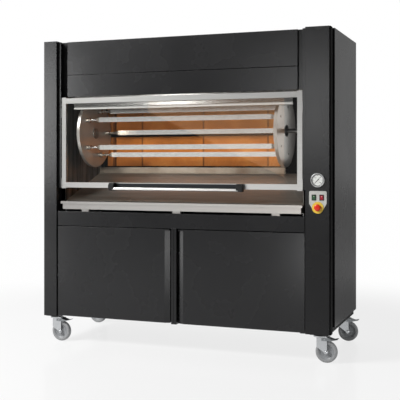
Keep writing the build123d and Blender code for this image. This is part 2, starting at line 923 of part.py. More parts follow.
# Visor behind the top of the door, with a hem that slants back
visor_top = roof_under
visor_bottom = visor_top - visor_drop
visor_y = front + visor_setback
hem_top = visor_bottom + visor_hem_height
hem_y = visor_y + visor_slant_depth
visor_side = [
    (visor_y, visor_top),
    (visor_y, hem_top),
    (hem_y, visor_bottom),
    (hem_y + sheet, visor_bottom + sheet),
    (visor_y + sheet, hem_top + sheet),
    (visor_y + sheet, visor_top),
]
save("roof_visor", slab_x(visor_side, wall_left + visor_end_gap, wall_right - visor_end_gap))

# Refractory tiles in two banks, with a black slot between them
tile_edges = [tile_start]
joint_x = opening_x - tile_joint_offset - tile_pitch
while joint_x < tile_end - 2 * tile_joint_width:
    if joint_x > tile_start + 2 * tile_joint_width:
        tile_edges.append(joint_x)
    joint_x += tile_pitch
tile_edges.append(tile_end)
tile_back = chamber_rear - seat_gap
tile_banks = [(lower_tile_bottom, lower_tile_top), (upper_tile_bottom, roof_under - seat_gap)]
tiles = []
for bank_bottom, bank_top in tile_banks:
    for index in range(len(tile_edges) - 1):
        tile_x0 = tile_edges[index] + tile_joint_width / 2
        tile_x1 = tile_edges[index + 1] - tile_joint_width / 2
        tiles.append(block(tile_x0, tile_x1, tile_front, tile_back, bank_bottom, bank_top))
    strip_x1 = tile_start - side_tile_gap
    strip_x0 = strip_x1 - side_tile_width
    tiles.append(block(strip_x0, strip_x1, tile_front, tile_back, bank_bottom, bank_top))
save("refractory_tiles", *tiles)

# Ember trough with its ledge, and the cast grate that lies in it
trough_end = wall_right - ledge_right_gap
trough_back = tile_front + sheet
trough_side = [
    (trough_front, ledge_bottom),
    (trough_back, ledge_bottom),
    (trough_back, ledge_bottom + sheet),
    (trough_front + sheet, ledge_bottom + sheet),
    (trough_front + sheet, ledge_top),
    (trough_front, ledge_top),
]
trough = slab_x(trough_side, wall_left, trough_end)
trough += block(wall_left, trough_end, trough_back, chamber_rear, ledge_bottom, ledge_bottom + sheet)
trough += block(
    trough_end - sheet, trough_end, trough_front, chamber_rear, ledge_bottom, ledge_top - grate_bar_height
)
grate_y0 = trough_front + sheet + seat_gap
grate_y1 = chamber_rear - seat_gap
grate_x0 = wall_left + grate_foot_width
grate_x1 = trough_end - grate_foot_width
grate_height = ledge_bottom + grate_rise
grate_top = grate_height + grate_bar_height
grate = block(grate_x0, grate_x1, grate_y0, grate_y0 + grate_bar_width, grate_height, grate_top)
grate += block(grate_x0, grate_x1, grate_y1 - grate_bar_width, grate_y1, grate_height, grate_top)
grate_count = int((grate_x1 - grate_x0) / grate_pitch)
grate_step = (grate_x1 - grate_x0 - grate_bar_width) / grate_count
for index in range(grate_count + 1):
    bar_x = grate_x0 + index * grate_step
    grate += block(bar_x, bar_x + grate_bar_width, grate_y0, grate_y1, grate_height, grate_top)
grate_foot_bottom = ledge_bottom + sheet + seat_gap
for foot_x in (grate_x0, grate_x1 - grate_foot_width):
    foot_edges = (foot_x, foot_x + grate_foot_width)
    grate += block(*foot_edges, grate_y0, grate_y1, grate_foot_bottom, grate_height)
save("ember_trough", trough, grate)

# Sloping drip floor, and the dark guard over its corner on the drive side
slope_y0 = front + slope_setback
slope_y1 = trough_front
slope_front_height = tray_lip_top + slope_front_rise
slope_rise = (ledge_bottom - slope_front_height) / (slope_y1 - slope_y0)


def slope_height(y):
    """Height of the drip floor's upper side at a depth."""
    return slope_front_height + slope_rise * (y - slope_y0)


slope_side = [
    (slope_y0, slope_height(slope_y0)),
    (slope_y1, slope_height(slope_y1)),
    (slope_y1, slope_height(slope_y1) - sheet),
    (slope_y0, slope_height(slope_y0) - sheet),
]
slope = slab_x(slope_side, wall_left, wall_right)
guard_side = [
    (slope_y0, slope_height(slope_y0) + seat_gap),
    (slope_y1, slope_height(slope_y1) + seat_gap),
    (slope_y1, slope_height(slope_y1) + seat_gap + sheet),
    (slope_y0, slope_height(slope_y0) + seat_gap + sheet),
]
guard = slab_x(guard_side, wall_right - guard_width, wall_right)
guard_cut = [
    (wall_right - guard_width - sheet, slope_y0 - sheet),
    (wall_right - panel_gap, slope_y0 - sheet),
    (wall_right - guard_width, slope_y1 + sheet),
    (wall_right - guard_width - sheet, slope_y1 + sheet),
]
guard -= column(guard_cut, chamber_floor - tube_size, ledge_top)
save("drip_slope", slope, guard)


# Planetary gears
tooth_module = 2 * spit_circle_radius / (sun_teeth + planet_teeth)
flank_steps = 3


def gear_outline(teeth, turn):
    """Points (y, z) of an involute gear about the origin, turned by an angle in degrees."""
    pitch_radius = tooth_module * teeth / 2
    pressure = math.radians(pressure_angle)
    base_radius = pitch_radius * math.cos(pressure)
    tip_radius = pitch_radius + tooth_addendum * tooth_module
    root_radius = pitch_radius - tooth_dedendum * tooth_module
    start_radius = max(base_radius, root_radius + tooth_root_step * tooth_module)
    half_pitch_angle = (math.pi / 2 * tooth_module - tooth_thinning) / 2 / pitch_radius
    involute = math.tan(pressure) - pressure
    flank = []
    for step in range(flank_steps + 1):
        radius = start_radius + (tip_radius - start_radius) * step / flank_steps
        roll = math.acos(min(1.0, base_radius / radius))
        flank.append((radius, half_pitch_angle + involute - (math.tan(roll) - roll)))
    points = []
    for tooth in range(teeth):
        middle = 2 * math.pi * tooth / teeth + math.radians(turn)
        profile = [(root_radius, -flank[0][1])]
        profile += [(radius, -angle) for radius, angle in flank]
        profile += [(radius, angle) for radius, angle in reversed(flank)]
        profile += [(root_radius, flank[0][1])]
        for radius, angle in profile:
            points.append((radius * math.cos(middle + angle), radius * math.sin(middle + angle)))
    return points


def gear(x0, x1, y, z, teeth, turn):
    """A gear blank along X with its teeth."""
    outline = [(y + py, z + pz) for py, pz in gear_outline(teeth, turn)]
    return slab_x(outline, x0, x1)


left_plate = left_disc_face - disc_thickness
gear_x1 = left_disc_face - plate_thickness - (disc_thickness - 2 * plate_thickness - gear_width) / 2
gear_x0 = gear_x1 - gear_width
sun = gear(gear_x0, gear_x1, rotor_y, rotor_height, sun_teeth, 0.0)
sun += rod_x(wall_left, gear_x1, rotor_y, rotor_height, sleeve_radius)
sun += rod_x(wall_left, wall_left + wall_flange_width, rotor_y, rotor_height, wall_flange_radius)
sun -= rod_x(wall_left - sheet, gear_x1 + sheet, rotor_y, rotor_height, shaft_radius + fit_gap)
save("sun_gear", sun)

spit_angles = [first_spit_angle + 360.0 / spit_count * index for index in range(spit_count)]
spit_centres = [
    (
        rotor_y + spit_circle_radius * math.cos(math.radians(angle)),
        rotor_height + spit_circle_radius * math.sin(math.radians(angle)),
    )
    for angle in spit_angles
]


# Rotor discs, each a drum of two plates and a rim
def drum(x0, x1, centre_bore, spit_bore):
    """A hollow disc from x0 to x1 with bores for the shaft side and the spits."""
    shape = rod_x(x0, x1, rotor_y, rotor_height, disc_radius)
    hollow = (x0 + plate_thickness, x1 - plate_thickness)
    shape -= rod_x(*hollow, rotor_y, rotor_height, disc_radius - rim_wall)
    shape -= rod_x(x0 - overcut, x1 + overcut, rotor_y, rotor_height, centre_bore)
    for spit_y, spit_z in spit_centres:
        shape -= rod_x(x0 - overcut, x1 + overcut, spit_y, spit_z, spit_bore)
    return shape


left_drum = drum(left_plate, left_disc_face, shaft_radius + fit_gap / 2, hub_radius + fit_gap)
sleeve_hole = sleeve_radius + sleeve_gap
left_drum -= rod_x(left_plate - overcut, left_plate + plate_thickness, rotor_y, rotor_height, sleeve_hole)
save("left_disc", left_drum)
right_plate = right_disc_face - disc_thickness
right_drum = drum(right_plate, right_disc_face, shaft_radius + fit_gap / 2, spit_pin_radius + fit_gap)
save("right_disc", right_drum)


# Stub shafts with their flanges and chain sprockets, whose teeth are given as shares of a pitch
sprocket_profile = [
    (-0.3, sprocket_tooth_height),
    (-0.12, 0.0),
    (0.12, 0.0),
    (0.3, sprocket_tooth_height),
]


def sprocket(x_middle, y, z):
    """A chain sprocket with plain teeth."""
    x0 = x_middle - sprocket_width / 2
    x1 = x_middle + sprocket_width / 2
    points = []
    for tooth in range(sprocket_teeth):
        middle = 2 * math.pi * tooth / sprocket_teeth
        step = 2 * math.pi / sprocket_teeth
        for share, drop in sprocket_profile:
            angle = middle + share * step
            reach = sprocket_radius - drop
            points.append((y + reach * math.cos(angle), z + reach * math.sin(angle)))
    return slab_x(points, x0, x1)


left_sprocket_x = left_sprocket_gap - tube_inner
right_sprocket_x = wall_right + right_sprocket_gap
left_end_x = left_sprocket_x - shaft_end_length
right_end_x = right_sprocket_x + shaft_end_length
left_shaft = rod_x(left_end_x, left_disc_face, rotor_y, rotor_height, shaft_radius)
left_flange_x = (left_disc_face, left_disc_face + hub_flange_width)
left_shaft += rod_x(*left_flange_x, rotor_y, rotor_height, hub_flange_radius)
left_shaft += sprocket(left_sprocket_x, rotor_y, rotor_height)
right_shaft = rod_x(right_plate, right_end_x, rotor_y, rotor_height, shaft_radius)
right_flange_x = (right_disc_face, right_disc_face + hub_flange_width)
right_shaft += rod_x(*right_flange_x, rotor_y, rotor_height, hub_flange_radius)
right_shaft += sprocket(right_sprocket_x, rotor_y, rotor_height)
save("rotor_shafts", left_shaft, right_shaft)


# Bearings of the rotor on the chamber's walls, and of the lay shaft on its back plate
def bearing(x0, x1, y, z, bore, size):
    """A square flanged bearing."""
    half = size / 2
    return block(x0, x1, y - half, y + half, z - half, z + half) - rod_x(x0, x1, y, z, bore)


rotor_bore = shaft_radius + fit_gap
bearings = []
for bearing_x in (wall_left - sheet - bearing_width, wall_right + sheet):
    bearing_edges = (bearing_x, bearing_x + bearing_width)
    bearings.append(bearing(*bearing_edges, rotor_y, rotor_height, rotor_bore, bearing_size))
lay_bore = lay_shaft_radius + fit_gap
hanger_half = 2 * lay_shaft_radius
for hanger_x in (wall_left + hanger_inset, wall_right - hanger_inset):
    hanger = block(
        hanger_x - hanger_width / 2,
        hanger_x + hanger_width / 2,
        chamber_rear + sheet,
        lay_y + hanger_half,
        rotor_height - hanger_half,
        rotor_height + hanger_half,
    )
    hanger_cut = (hanger_x - hanger_width, hanger_x + hanger_width)
    hanger -= rod_x(*hanger_cut, lay_y, rotor_height, lay_bore)
    bearings.append(hanger)
save("rotor_bearings", *bearings)

# Lay shaft behind the tiles, which keeps the two discs in step
gearbox_start = tube_inner - gearbox_inset
gearbox_end = gearbox_start + gearbox_width
motor_x = (gearbox_start + gearbox_end) / 2
lay_shaft = rod_x(lay_shaft_end_gap - tube_inner, motor_x, lay_y, rotor_height, lay_shaft_radius)
lay_shaft += sprocket(left_sprocket_x, lay_y, rotor_height)
lay_shaft += sprocket(right_sprocket_x, lay_y, rotor_height)
save("lay_shaft", lay_shaft)


# Chains as closed loops just outside the sprockets' teeth
def chain_loop(x_middle):
    """A roller chain's loop as one band."""
    inner = sprocket_radius + seat_gap
    outer = inner + chain_height
    x0 = x_middle - chain_width / 2
    x1 = x_middle + chain_width / 2
    band = None
    for radius in (outer, inner):
        solid = rod_x(x0, x1, rotor_y, rotor_height, radius)
        solid += rod_x(x0, x1, lay_y, rotor_height, radius)
        solid += block(x0, x1, rotor_y, lay_y, rotor_height - radius, rotor_height + radius)
        band = solid if band is None else band - solid
    return band


save("drive_chains", chain_loop(left_sprocket_x), chain_loop(right_sprocket_x))

# Gear motor on the right rear post
gear_motor = block(
    gearbox_start,
    gearbox_end,
    lay_y - gearbox_depth / 2,
    lay_y + gearbox_depth / 2,
    rotor_height - gearbox_height / 2,
    rotor_height + gearbox_height / 2,
)
motor_top = rotor_height - gearbox_height / 2
gear_motor += rod_z(motor_x, lay_y, motor_top - motor_length, motor_top, motor_radius)
gear_motor += block(
    tube_inner,
    gearbox_end,
    lay_y + gearbox_depth / 2,
    frame_back,
    rotor_height - motor_foot_height / 2,
    rotor_height + motor_foot_height / 2,
)
gear_motor -= rod_x(gearbox_start, motor_x + lay_shaft_radius, lay_y, rotor_height, lay_bore)
save("gear_motor", gear_motor)


# Spits: square tubes with tapered ends, each with its planet gear and socket
def spit(index):
    """One spit as its tube, two end fittings and the planet gear."""
    y, z = spit_centres[index]
    angle = spit_angles[index]
    x0 = left_disc_face + spit_left_gap
    x1 = right_plate - spit_right_gap
    half = spit_size / 2
    bore = half - spit_wall
    tube = block(x0, x1, y - half, y + half, z - half, z + half)
    tube -= block(x0, x1, y - bore, y + bore, z - bore, z + bore)
    left_end = taper(x0, x0 - spit_taper_length, y, z)
    left_end += rod_x(left_plate, x0 - spit_taper_length, y, z, spit_pin_radius)
    socket_end = left_disc_face + socket_length
    collar_x = socket_end + seat_gap
    left_end += rod_x(collar_x, collar_x + collar_width, y, z, collar_radius)
    right_end = taper(x1, x1 + spit_taper_length, y, z)
    right_end += rod_x(x1 + spit_taper_length, right_disc_face, y, z, spit_pin_radius)
    turn = 180.0 + angle + angle * sun_teeth / planet_teeth + 180.0 / planet_teeth
    planet = gear(gear_x0, gear_x1, y, z, planet_teeth, turn)
    planet += rod_x(left_plate, socket_end, y, z, hub_radius)
    planet -= rod_x(left_plate - overcut, socket_end + overcut, y, z, spit_pin_radius + fit_gap)
    return tube, left_end, right_end, planet


def taper(x_wide, x_narrow, y, z):
    """The pyramid between a spit's square tube and its pin."""
    wide = Plane(origin=(x_wide, y, z), x_dir=(0, 1, 0), z_dir=(1, 0, 0))
    narrow = Plane(origin=(x_narrow, y, z), x_dir=(0, 1, 0), z_dir=(1, 0, 0))
    sections = [wide * Rectangle(spit_size, spit_size)]
    sections.append(narrow * Rectangle(2 * spit_pin_radius, 2 * spit_pin_radius))
    return loft(sections, ruled=True)


for index in range(spit_count):
    save(f"spit_{index + 1}", *spit(index))


# Thermometer
gauge_back = front
gauge_front = front - gauge_reach
gauge_dial = gauge_front + gauge_dial_depth
gauge_case = rod_y(control_x, gauge_front, gauge_back, gauge_height, gauge_radius)
dial_radius = gauge_radius - gauge_bezel_width
gauge_case -= rod_y(control_x, gauge_front - overcut, gauge_dial, gauge_height, dial_radius)
gauge_case += rod_y(control_x, gauge_back, gauge_back + gauge_stem_length, gauge_height, gauge_stem_radius)
needle_hole = needle_pin_radius + fit_gap
gauge_case -= rod_y(control_x, gauge_dial - overcut, gauge_dial + 2 * sheet, gauge_height, needle_hole)
lens_front = gauge_front + lens_inset
gauge_lens = rod_y(control_x, lens_front, lens_front + lens_thickness, gauge_height, dial_radius)
save("thermometer_case", gauge_case, gauge_lens)

needle_y0 = gauge_dial - needle_gap - needle_thickness


def along_needle(distance, offset):
    """A point on the dial, at a distance along the needle and an offset across it."""
    angle = math.radians(needle_angle)
    x = control_x + distance * math.cos(angle) - offset * math.sin(angle)
    z = gauge_height + distance * math.sin(angle) + offset * math.cos(angle)
    return (x, z)


needle_half = needle_width / 2
needle_outline = [
    along_needle(-needle_tail_length, -needle_half),
    along_needle(needle_length, -needle_half / 4),
    along_needle(needle_length, needle_half / 4),
    along_needle(-needle_tail_length, needle_half),
]
needle = slab_y(needle_outline, needle_y0, needle_y0 + needle_thickness)
needle += rod_y(control_x, needle_y0, gauge_dial + sheet, gauge_height, needle_pin_radius)
save("thermometer_needle", needle)

# Control plate: a shield with round upper corners that narrows to the stop button
plate_back = front
plate_front = front - plate_sheet
plate_half = plate_width / 2
plate_top = switch_height + plate_above_switches
plate_waist = switch_height - plate_below_switches
plate_corner_z = plate_top - plate_corner_radius
plate_corner_x = plate_half - plate_corner_radius
round_radius = stop_ring_radius - stop_ring_border
taper_x = round_radius * math.cos(math.radians(plate_taper_angle))
taper_z = stop_height - round_radius * math.sin(math.radians(plate_taper_angle))
plate_points = [
    (control_x - plate_half, plate_waist),
    (control_x - plate_half, plate_corner_z),
    (control_x - plate_corner_x, plate_top),
    (control_x + plate_corner_x, plate_top),
    (control_x + plate_half, plate_corner_z),
    (control_x + plate_half, plate_waist),
    (control_x + taper_x, taper_z),
    (control_x - taper_x, taper_z),
]
control_plate = slab_y(plate_points, plate_front, plate_back)
control_plate += rod_y(control_x, plate_front, plate_back, stop_height, round_radius)
for corner_x in (control_x - plate_corner_x, control_x + plate_corner_x):
    control_plate += rod_y(corner_x, plate_front, plate_back, plate_corner_z, plate_corner_radius)
stem_hole = stop_stem_radius + seat_gap
control_plate -= rod_y(control_x, plate_front - overcut, plate_back + overcut, stop_height, stem_hole)
for switch_x in switch_places:
    control_plate -= block(
        switch_x - body_half_width,
        switch_x + body_half_width,
        plate_front - overcut,
        plate_back + overcut,
        switch_height - body_half_height,
        switch_height + body_half_height,
    )
save("control_plate", control_plate)


# Switch bezels with their bodies, and the stop button's ring
def switch_bezel(switch_x):
    """A rocker switch's bezel and body, open to the front."""
    outer_x = (switch_x - bezel_width / 2, switch_x + bezel_width / 2)
    outer_z = (switch_height - bezel_height / 2, switch_height + bezel_height / 2)
    body_x = (outer_x[0] + bezel_wall, outer_x[1] - bezel_wall)
    body_z = (outer_z[0] + bezel_wall, outer_z[1] - bezel_wall)
    shape = block(*outer_x, plate_front - bezel_reach, plate_front, *outer_z)
    shape += block(*body_x, plate_front, plate_front + bezel_depth, *body_z)
    shape -= block(
        body_x[0] + sheet / 2,
        body_x[1] - sheet / 2,
        plate_front - bezel_reach,
        plate_front + bezel_depth - sheet,
        body_z[0] + sheet / 2,
        body_z[1] - sheet / 2,
    )
    pivot_y = plate_front + rocker_pivot_depth
    for side in body_x:
        inner = side + sheet / 2 if side < switch_x else side - sheet / 2
        nub = (inner, inner + nub_length) if side < switch_x else (inner - nub_length, inner)
        shape += rod_x(*nub, pivot_y, switch_height, nub_radius)
    return shape


ring_front = plate_front - stop_ring_width
stem_back = front + bezel_depth
stop_ring = rod_y(control_x, ring_front, plate_front, stop_height, stop_ring_radius)
stop_ring += rod_y(control_x, plate_front, stem_back, stop_height, stop_stem_radius)
stop_bore = stop_stem_radius - sheet
stop_ring -= rod_y(control_x, ring_front - overcut, stem_back + overcut, stop_height, stop_bore)
save("switch_bezels", *[switch_bezel(switch_x) for switch_x in switch_places], stop_ring)


# Rockers: two facets that meet at the pivot line, resting with the lower end in
rocker_width = bezel_width - 2 * bezel_wall - sheet - 2 * rocker_clearance
rocker_height = bezel_height - 2 * bezel_wall - sheet - 2 * rocker_end_gap
rocker_pivot = plate_front + rocker_pivot_depth


def rocker(switch_x):
    """One rocker with blind holes for the bezel's nubs."""
    half_width = rocker_width / 2
    half_height = rocker_height / 2
    ridge = plate_front - rocker_reach
    facet_drop = half_height * math.tan(math.radians(rocker_swing / 2))
    side = [
        (ridge + facet_drop, switch_height - half_height),
        (ridge, switch_height),
        (ridge + facet_drop, switch_height + half_height),
        (rocker_pivot + rocker_back_depth, switch_height + half_height / 2),
        (rocker_pivot + rocker_back_depth, switch_height - half_height / 2),
    ]
    shape = slab_x(side, switch_x - half_width, switch_x + half_width)
    hole_radius = nub_radius + fit_gap
    hole_depth = nub_length + seat_gap
    for hole_x in (switch_x - half_width, switch_x + half_width - hole_depth):
        shape -= rod_x(hole_x, hole_x + hole_depth, rocker_pivot, switch_height, hole_radius)
    return shape.rotate(Axis((switch_x, rocker_pivot, switch_height), (1, 0, 0)), rocker_swing / 2)


save("start_rocker", rocker(switch_places[0]))
save("stop_rocker", rocker(switch_places[1]))

# Stop button: a mushroom cap on a stem in the ring's bore
cap_back = ring_front - stop_travel - stop_gap
stop_button = rod_y(control_x, cap_back - stop_cap_width, cap_back, stop_height, stop_cap_radius)
stop_button += rod_y(control_x, cap_back, stem_back, stop_height, stop_bore - fit_gap)
save("stop_button", stop_button)

# Casters, each drawn about its own swivel axis with the wheel trailing to the right
caster_top = underside
caster_right_x = face_half - caster_right_inset
caster_left_x = caster_left_inset - face_half
caster_front_y = front + caster_front_inset
caster_rear_y = back - caster_rear_inset
caster_places = {
    "front_left": (caster_left_x, caster_front_y, False),
    "front_right": (caster_right_x, caster_front_y, False),
    "rear_left": (-caster_right_x, caster_rear_y, True),
    "rear_right": (caster_right_x, caster_rear_y, False),
}
fork_inner = wheel_width / 2 + fork_gap
fork_outer = fork_inner + fork_wall
fork_top = caster_top - caster_plate_thickness - king_collar_height - seat_gap
crown_under = fork_top - crown_height
pedal_axis = fork_top - pedal_drop
pedal_inner = fork_outer + pedal_gap
pedal_outer = pedal_inner + pedal_wall


def caster_plate():
    """A mounting plate with the king pin and its collar."""
    half_length = caster_plate_length / 2
    half_width = caster_plate_width / 2
    plate_under = caster_top - caster_plate_thickness
    plate = block(-half_length, half_length, -half_width, half_width, plate_under, caster_top)
    plate += rod_z(0.0, 0.0, fork_top + seat_gap, plate_under, king_collar_radius)
    plate += rod_z(0.0, 0.0, fork_top - 2 * fork_wall, plate_under, king_pin_radius)
    return plate


def caster_fork():
    """A fork under its round crown, with the wheel's axle and the pedal's pin."""
    foot_x = caster_trail + fork_foot_radius
    fork = rod_z(0.0, 0.0, crown_under, fork_top, crown_radius)
    fork += block(-fork_front_length, foot_x, -fork_outer, fork_outer, crown_under, fork_top - fork_wall)
    fork -= rod_z(0.0, 0.0, crown_under - overcut, fork_top + overcut, king_pin_radius + fit_gap)
    cheek = [
        (-fork_front_length, fork_top - fork_wall),
        (foot_x, fork_top - fork_wall),
        (foot_x, wheel_radius - fork_foot_radius),
        (caster_trail, wheel_radius - fork_foot_height),
        (caster_trail - fork_foot_radius, wheel_radius - fork_foot_radius),
        (-fork_front_length, wheel_radius + fork_shoulder_height),
    ]
    for y0 in (-fork_outer, fork_inner):
        fork += slab_y(cheek, y0, y0 + fork_wall)
    fork += rod_y(caster_trail, -fork_outer, fork_outer, wheel_radius, axle_radius)
    for y0 in (-fork_outer - axle_head_width, fork_outer):
        fork += rod_y(caster_trail, y0, y0 + axle_head_width, wheel_radius, axle_head_radius)
    fork += rod_y(pedal_pivot, -pedal_outer, pedal_outer, pedal_axis, pedal_pin_radius)
    return fork


def caster_wheel():
    """A wheel with a rounded tread, recessed faces and a hub."""
    half = wheel_width / 2
    wheel = rod_y(caster_trail, -half, half, wheel_radius, wheel_radius)
    wheel = fillet(wheel.edges().filter_by(GeomType.CIRCLE), wheel_recess)
    for y0 in (-half, half - wheel_recess):
        recess = rod_y(caster_trail, y0, y0 + wheel_recess, wheel_radius, wheel_radius - wheel_rim)
        recess -= rod_y(caster_trail, y0, y0 + wheel_recess, wheel_radius, wheel_hub_radius)
        wheel -= recess
    wheel -= rod_y(caster_trail, -half, half, wheel_radius, axle_radius + fit_gap)
    return wheel


def caster_pedal():
    """The brake pedal: a bent channel round the fork, with the shoe that presses on the tread."""
    upper = [
        (pedal_pivot - pedal_arm_length, pedal_axis + pedal_arm_height),
        (caster_trail, pedal_axis + pedal_arm_height),
        (caster_trail + fork_foot_radius + pedal_plate_gap, pedal_axis + pedal_hump_rise),
        (pedal_pivot + pedal_neck_length, pedal_axis + pedal_neck_rise),
        (pedal_pivot + pedal_dip_length, pedal_axis + pedal_dip_rise),
        (pedal_pivot + pedal_length, pedal_axis + pedal_tip_rise),
    ]
    plate_upper = upper[2:]
    plate_under = [(x, z - pedal_wall) for x, z in reversed(plate_upper)]
    pedal = slab_y(plate_upper + plate_under, -pedal_outer, pedal_outer)
    skirt_under = [
        (pedal_pivot + pedal_dip_length, pedal_axis + pedal_dip_rise - pedal_wall),
        (pedal_pivot + pedal_neck_length, pedal_axis + pedal_neck_rise - pedal_skirt),
        (pedal_pivot - pedal_arm_length, pedal_axis - pedal_arm_height),
    ]
    for y0 in (-pedal_outer, pedal_inner):
        pedal += slab_y(upper[:5] + skirt_under, y0, y0 + pedal_wall)
    shoe_x = caster_trail + fork_foot_radius + brake_shoe_inset
    shoe_end = shoe_x + brake_shoe_length
    shoe_under = 2 * wheel_radius + brake_shoe_gap
    shoe = [
        (shoe_x, shoe_under),
        (shoe_end, shoe_under),
        (shoe_end, pedal_axis + pedal_neck_rise - pedal_wall),
        (shoe_x, pedal_axis + pedal_hump_rise - pedal_wall),
    ]
    pedal += slab_y(shoe, -wheel_width / 4, wheel_width / 4)
    pedal -= rod_y(pedal_pivot, -pedal_outer, pedal_outer, pedal_axis, pedal_pin_radius + fit_gap)
    return pedal


def at_caster(shape, place):
    """A caster's piece moved to its place, turned to trail to the left where the place says so."""
    x, y, trails_left = caster_places[place]
    if trails_left:
        shape = mirror(shape, about=Plane.YZ)
    return Pos(x, y, 0.0) * shape


save("caster_plates", *[at_caster(caster_plate(), place) for place in caster_places])
for place in caster_places:
    save(f"{place}_fork", at_caster(caster_fork(), place))
    save(f"{place}_wheel", at_caster(caster_wheel(), place))
    save(f"{place}_pedal", at_caster(caster_pedal(), place))

print("rotor axis", rotor_y, rotor_height, "lay shaft", lay_y, "travels", door_travel, tray_travel)
print("spit centres", [(round(y, 2), round(z, 2)) for y, z in spit_centres])
print("hinges", left_hinge_x, right_hinge_x, hinge_y)
print("controls", control_x, gauge_height, switch_places, switch_height, stop_height)
print("discs", left_plate, left_disc_face, right_plate, right_disc_face, "walls", wall_left, wall_right)
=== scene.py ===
# %% [markdown]
# # A charcoal rotisserie oven
# The oven is a tall painted steel casing on casters. A stainless chamber with five square spits
# sits behind a glass door that slides up, with a drip tray and a two-door cabinet below. Its sheet
# metal, hinges, shafts and gears come as a finished mechanical model. This script gives every
# surface its finish, models the small parts that need more form than the mechanical model has, and
# lights it all. Names that end in MM hold millimetres. All other lengths and places are metres in
# the oven's own frame, with its front towards -Y and its feet at Z = 0.

# %% Load the mechanical model
import json
import math

import bmesh
import bpy
from mathutils import Matrix, Vector

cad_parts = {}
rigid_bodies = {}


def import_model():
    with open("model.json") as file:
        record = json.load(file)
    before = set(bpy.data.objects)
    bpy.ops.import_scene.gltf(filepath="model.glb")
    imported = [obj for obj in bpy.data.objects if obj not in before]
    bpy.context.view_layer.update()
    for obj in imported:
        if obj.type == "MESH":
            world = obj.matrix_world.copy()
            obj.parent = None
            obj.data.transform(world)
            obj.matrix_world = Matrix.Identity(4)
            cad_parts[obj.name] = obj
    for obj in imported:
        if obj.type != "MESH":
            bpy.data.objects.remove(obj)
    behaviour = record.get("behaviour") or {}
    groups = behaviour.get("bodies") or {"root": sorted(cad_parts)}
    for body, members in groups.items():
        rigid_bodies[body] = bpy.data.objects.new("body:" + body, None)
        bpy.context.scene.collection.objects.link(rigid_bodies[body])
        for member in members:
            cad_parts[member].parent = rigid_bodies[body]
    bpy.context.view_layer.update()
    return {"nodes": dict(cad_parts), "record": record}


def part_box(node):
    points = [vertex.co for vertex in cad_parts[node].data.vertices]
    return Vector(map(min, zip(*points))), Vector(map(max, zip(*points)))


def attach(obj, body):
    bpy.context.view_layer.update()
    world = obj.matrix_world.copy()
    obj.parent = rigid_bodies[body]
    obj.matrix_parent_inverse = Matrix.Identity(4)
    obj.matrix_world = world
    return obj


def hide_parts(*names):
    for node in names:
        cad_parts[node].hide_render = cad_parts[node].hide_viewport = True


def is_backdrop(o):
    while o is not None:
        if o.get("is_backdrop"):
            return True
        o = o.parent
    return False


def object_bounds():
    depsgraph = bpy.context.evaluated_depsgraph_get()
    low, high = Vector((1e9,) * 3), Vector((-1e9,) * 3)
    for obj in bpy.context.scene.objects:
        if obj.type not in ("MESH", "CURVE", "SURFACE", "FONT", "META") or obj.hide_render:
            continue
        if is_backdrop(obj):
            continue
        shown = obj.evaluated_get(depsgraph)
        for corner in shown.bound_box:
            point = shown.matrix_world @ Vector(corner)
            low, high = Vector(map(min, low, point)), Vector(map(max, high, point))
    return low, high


MM = 0.001
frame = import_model()
nodes = frame["nodes"]
subparts = frame["record"]["subparts"]

# %% [markdown]
# ## Colour and shader helpers
# Paint charts and photographs give colours as sRGB hex values, but a shader works in linear light,
# so one function turns one into the other. A second one adds any node with its settings and its
# inputs, which keeps each material down to the few lines that say what the surface is. An input is
# a plain value, the socket that feeds it, or a node, which then stands for its first output.


# %% Helpers for materials
def linear(hex_colour):
    """An sRGB hex colour such as "c8c6c2" as linear RGBA."""
    values = [int(hex_colour[i : i + 2], 16) / 255.0 for i in (0, 2, 4)]
    return [v / 12.92 if v <= 0.04045 else ((v + 0.055) / 1.055) ** 2.4 for v in values] + [1.0]


def add_node(tree, kind, inputs=None, **settings):
    """One node with its settings, and its inputs as values or as what feeds them."""
    made = tree.nodes.new(kind)
    for name, value in settings.items():
        setattr(made, name, value)
    for name, value in (inputs or {}).items():
        if isinstance(value, bpy.types.Node):
            value = value.outputs[0]
        if isinstance(value, bpy.types.NodeSocket):
            tree.links.new(value, made.inputs[name])
        else:
            made.inputs[name].default_value = value
    return made


def per_mm(size):
    """The texture scale that gives features of about this many millimetres."""
    return 1.0 / (size * MM)


def new_material(name):
    """An empty material, its node tree and the place on the piece, in metres."""
    material = bpy.data.materials.new(name)
    material.use_nodes = True
    tree = material.node_tree
    tree.nodes.clear()
    return material, tree, add_node(tree, "ShaderNodeTexCoord").outputs["Object"]


def mottled(tree, colour, pattern, tones):
    """A colour that a pattern makes darker and lighter, by a factor between two values."""
    reach = {"Value": pattern, "To Min": tones[0], "To Max": tones[1]}
    tone = add_node(tree, "ShaderNodeMapRange", reach)
    return add_node(tree, "ShaderNodeHueSaturation", {"Color": colour, "Value": tone})


def coat(tree, surface, relief=None):
    """Make a surface with these inputs the look of its material, with a relief if it has one."""
    if relief:
        surface["Normal"] = add_node(tree, "ShaderNodeBump", relief)
    skin = add_node(tree, "ShaderNodeBsdfPrincipled", surface)
    add_node(tree, "ShaderNodeOutputMaterial", {"Surface": skin})


print("material helpers ready")
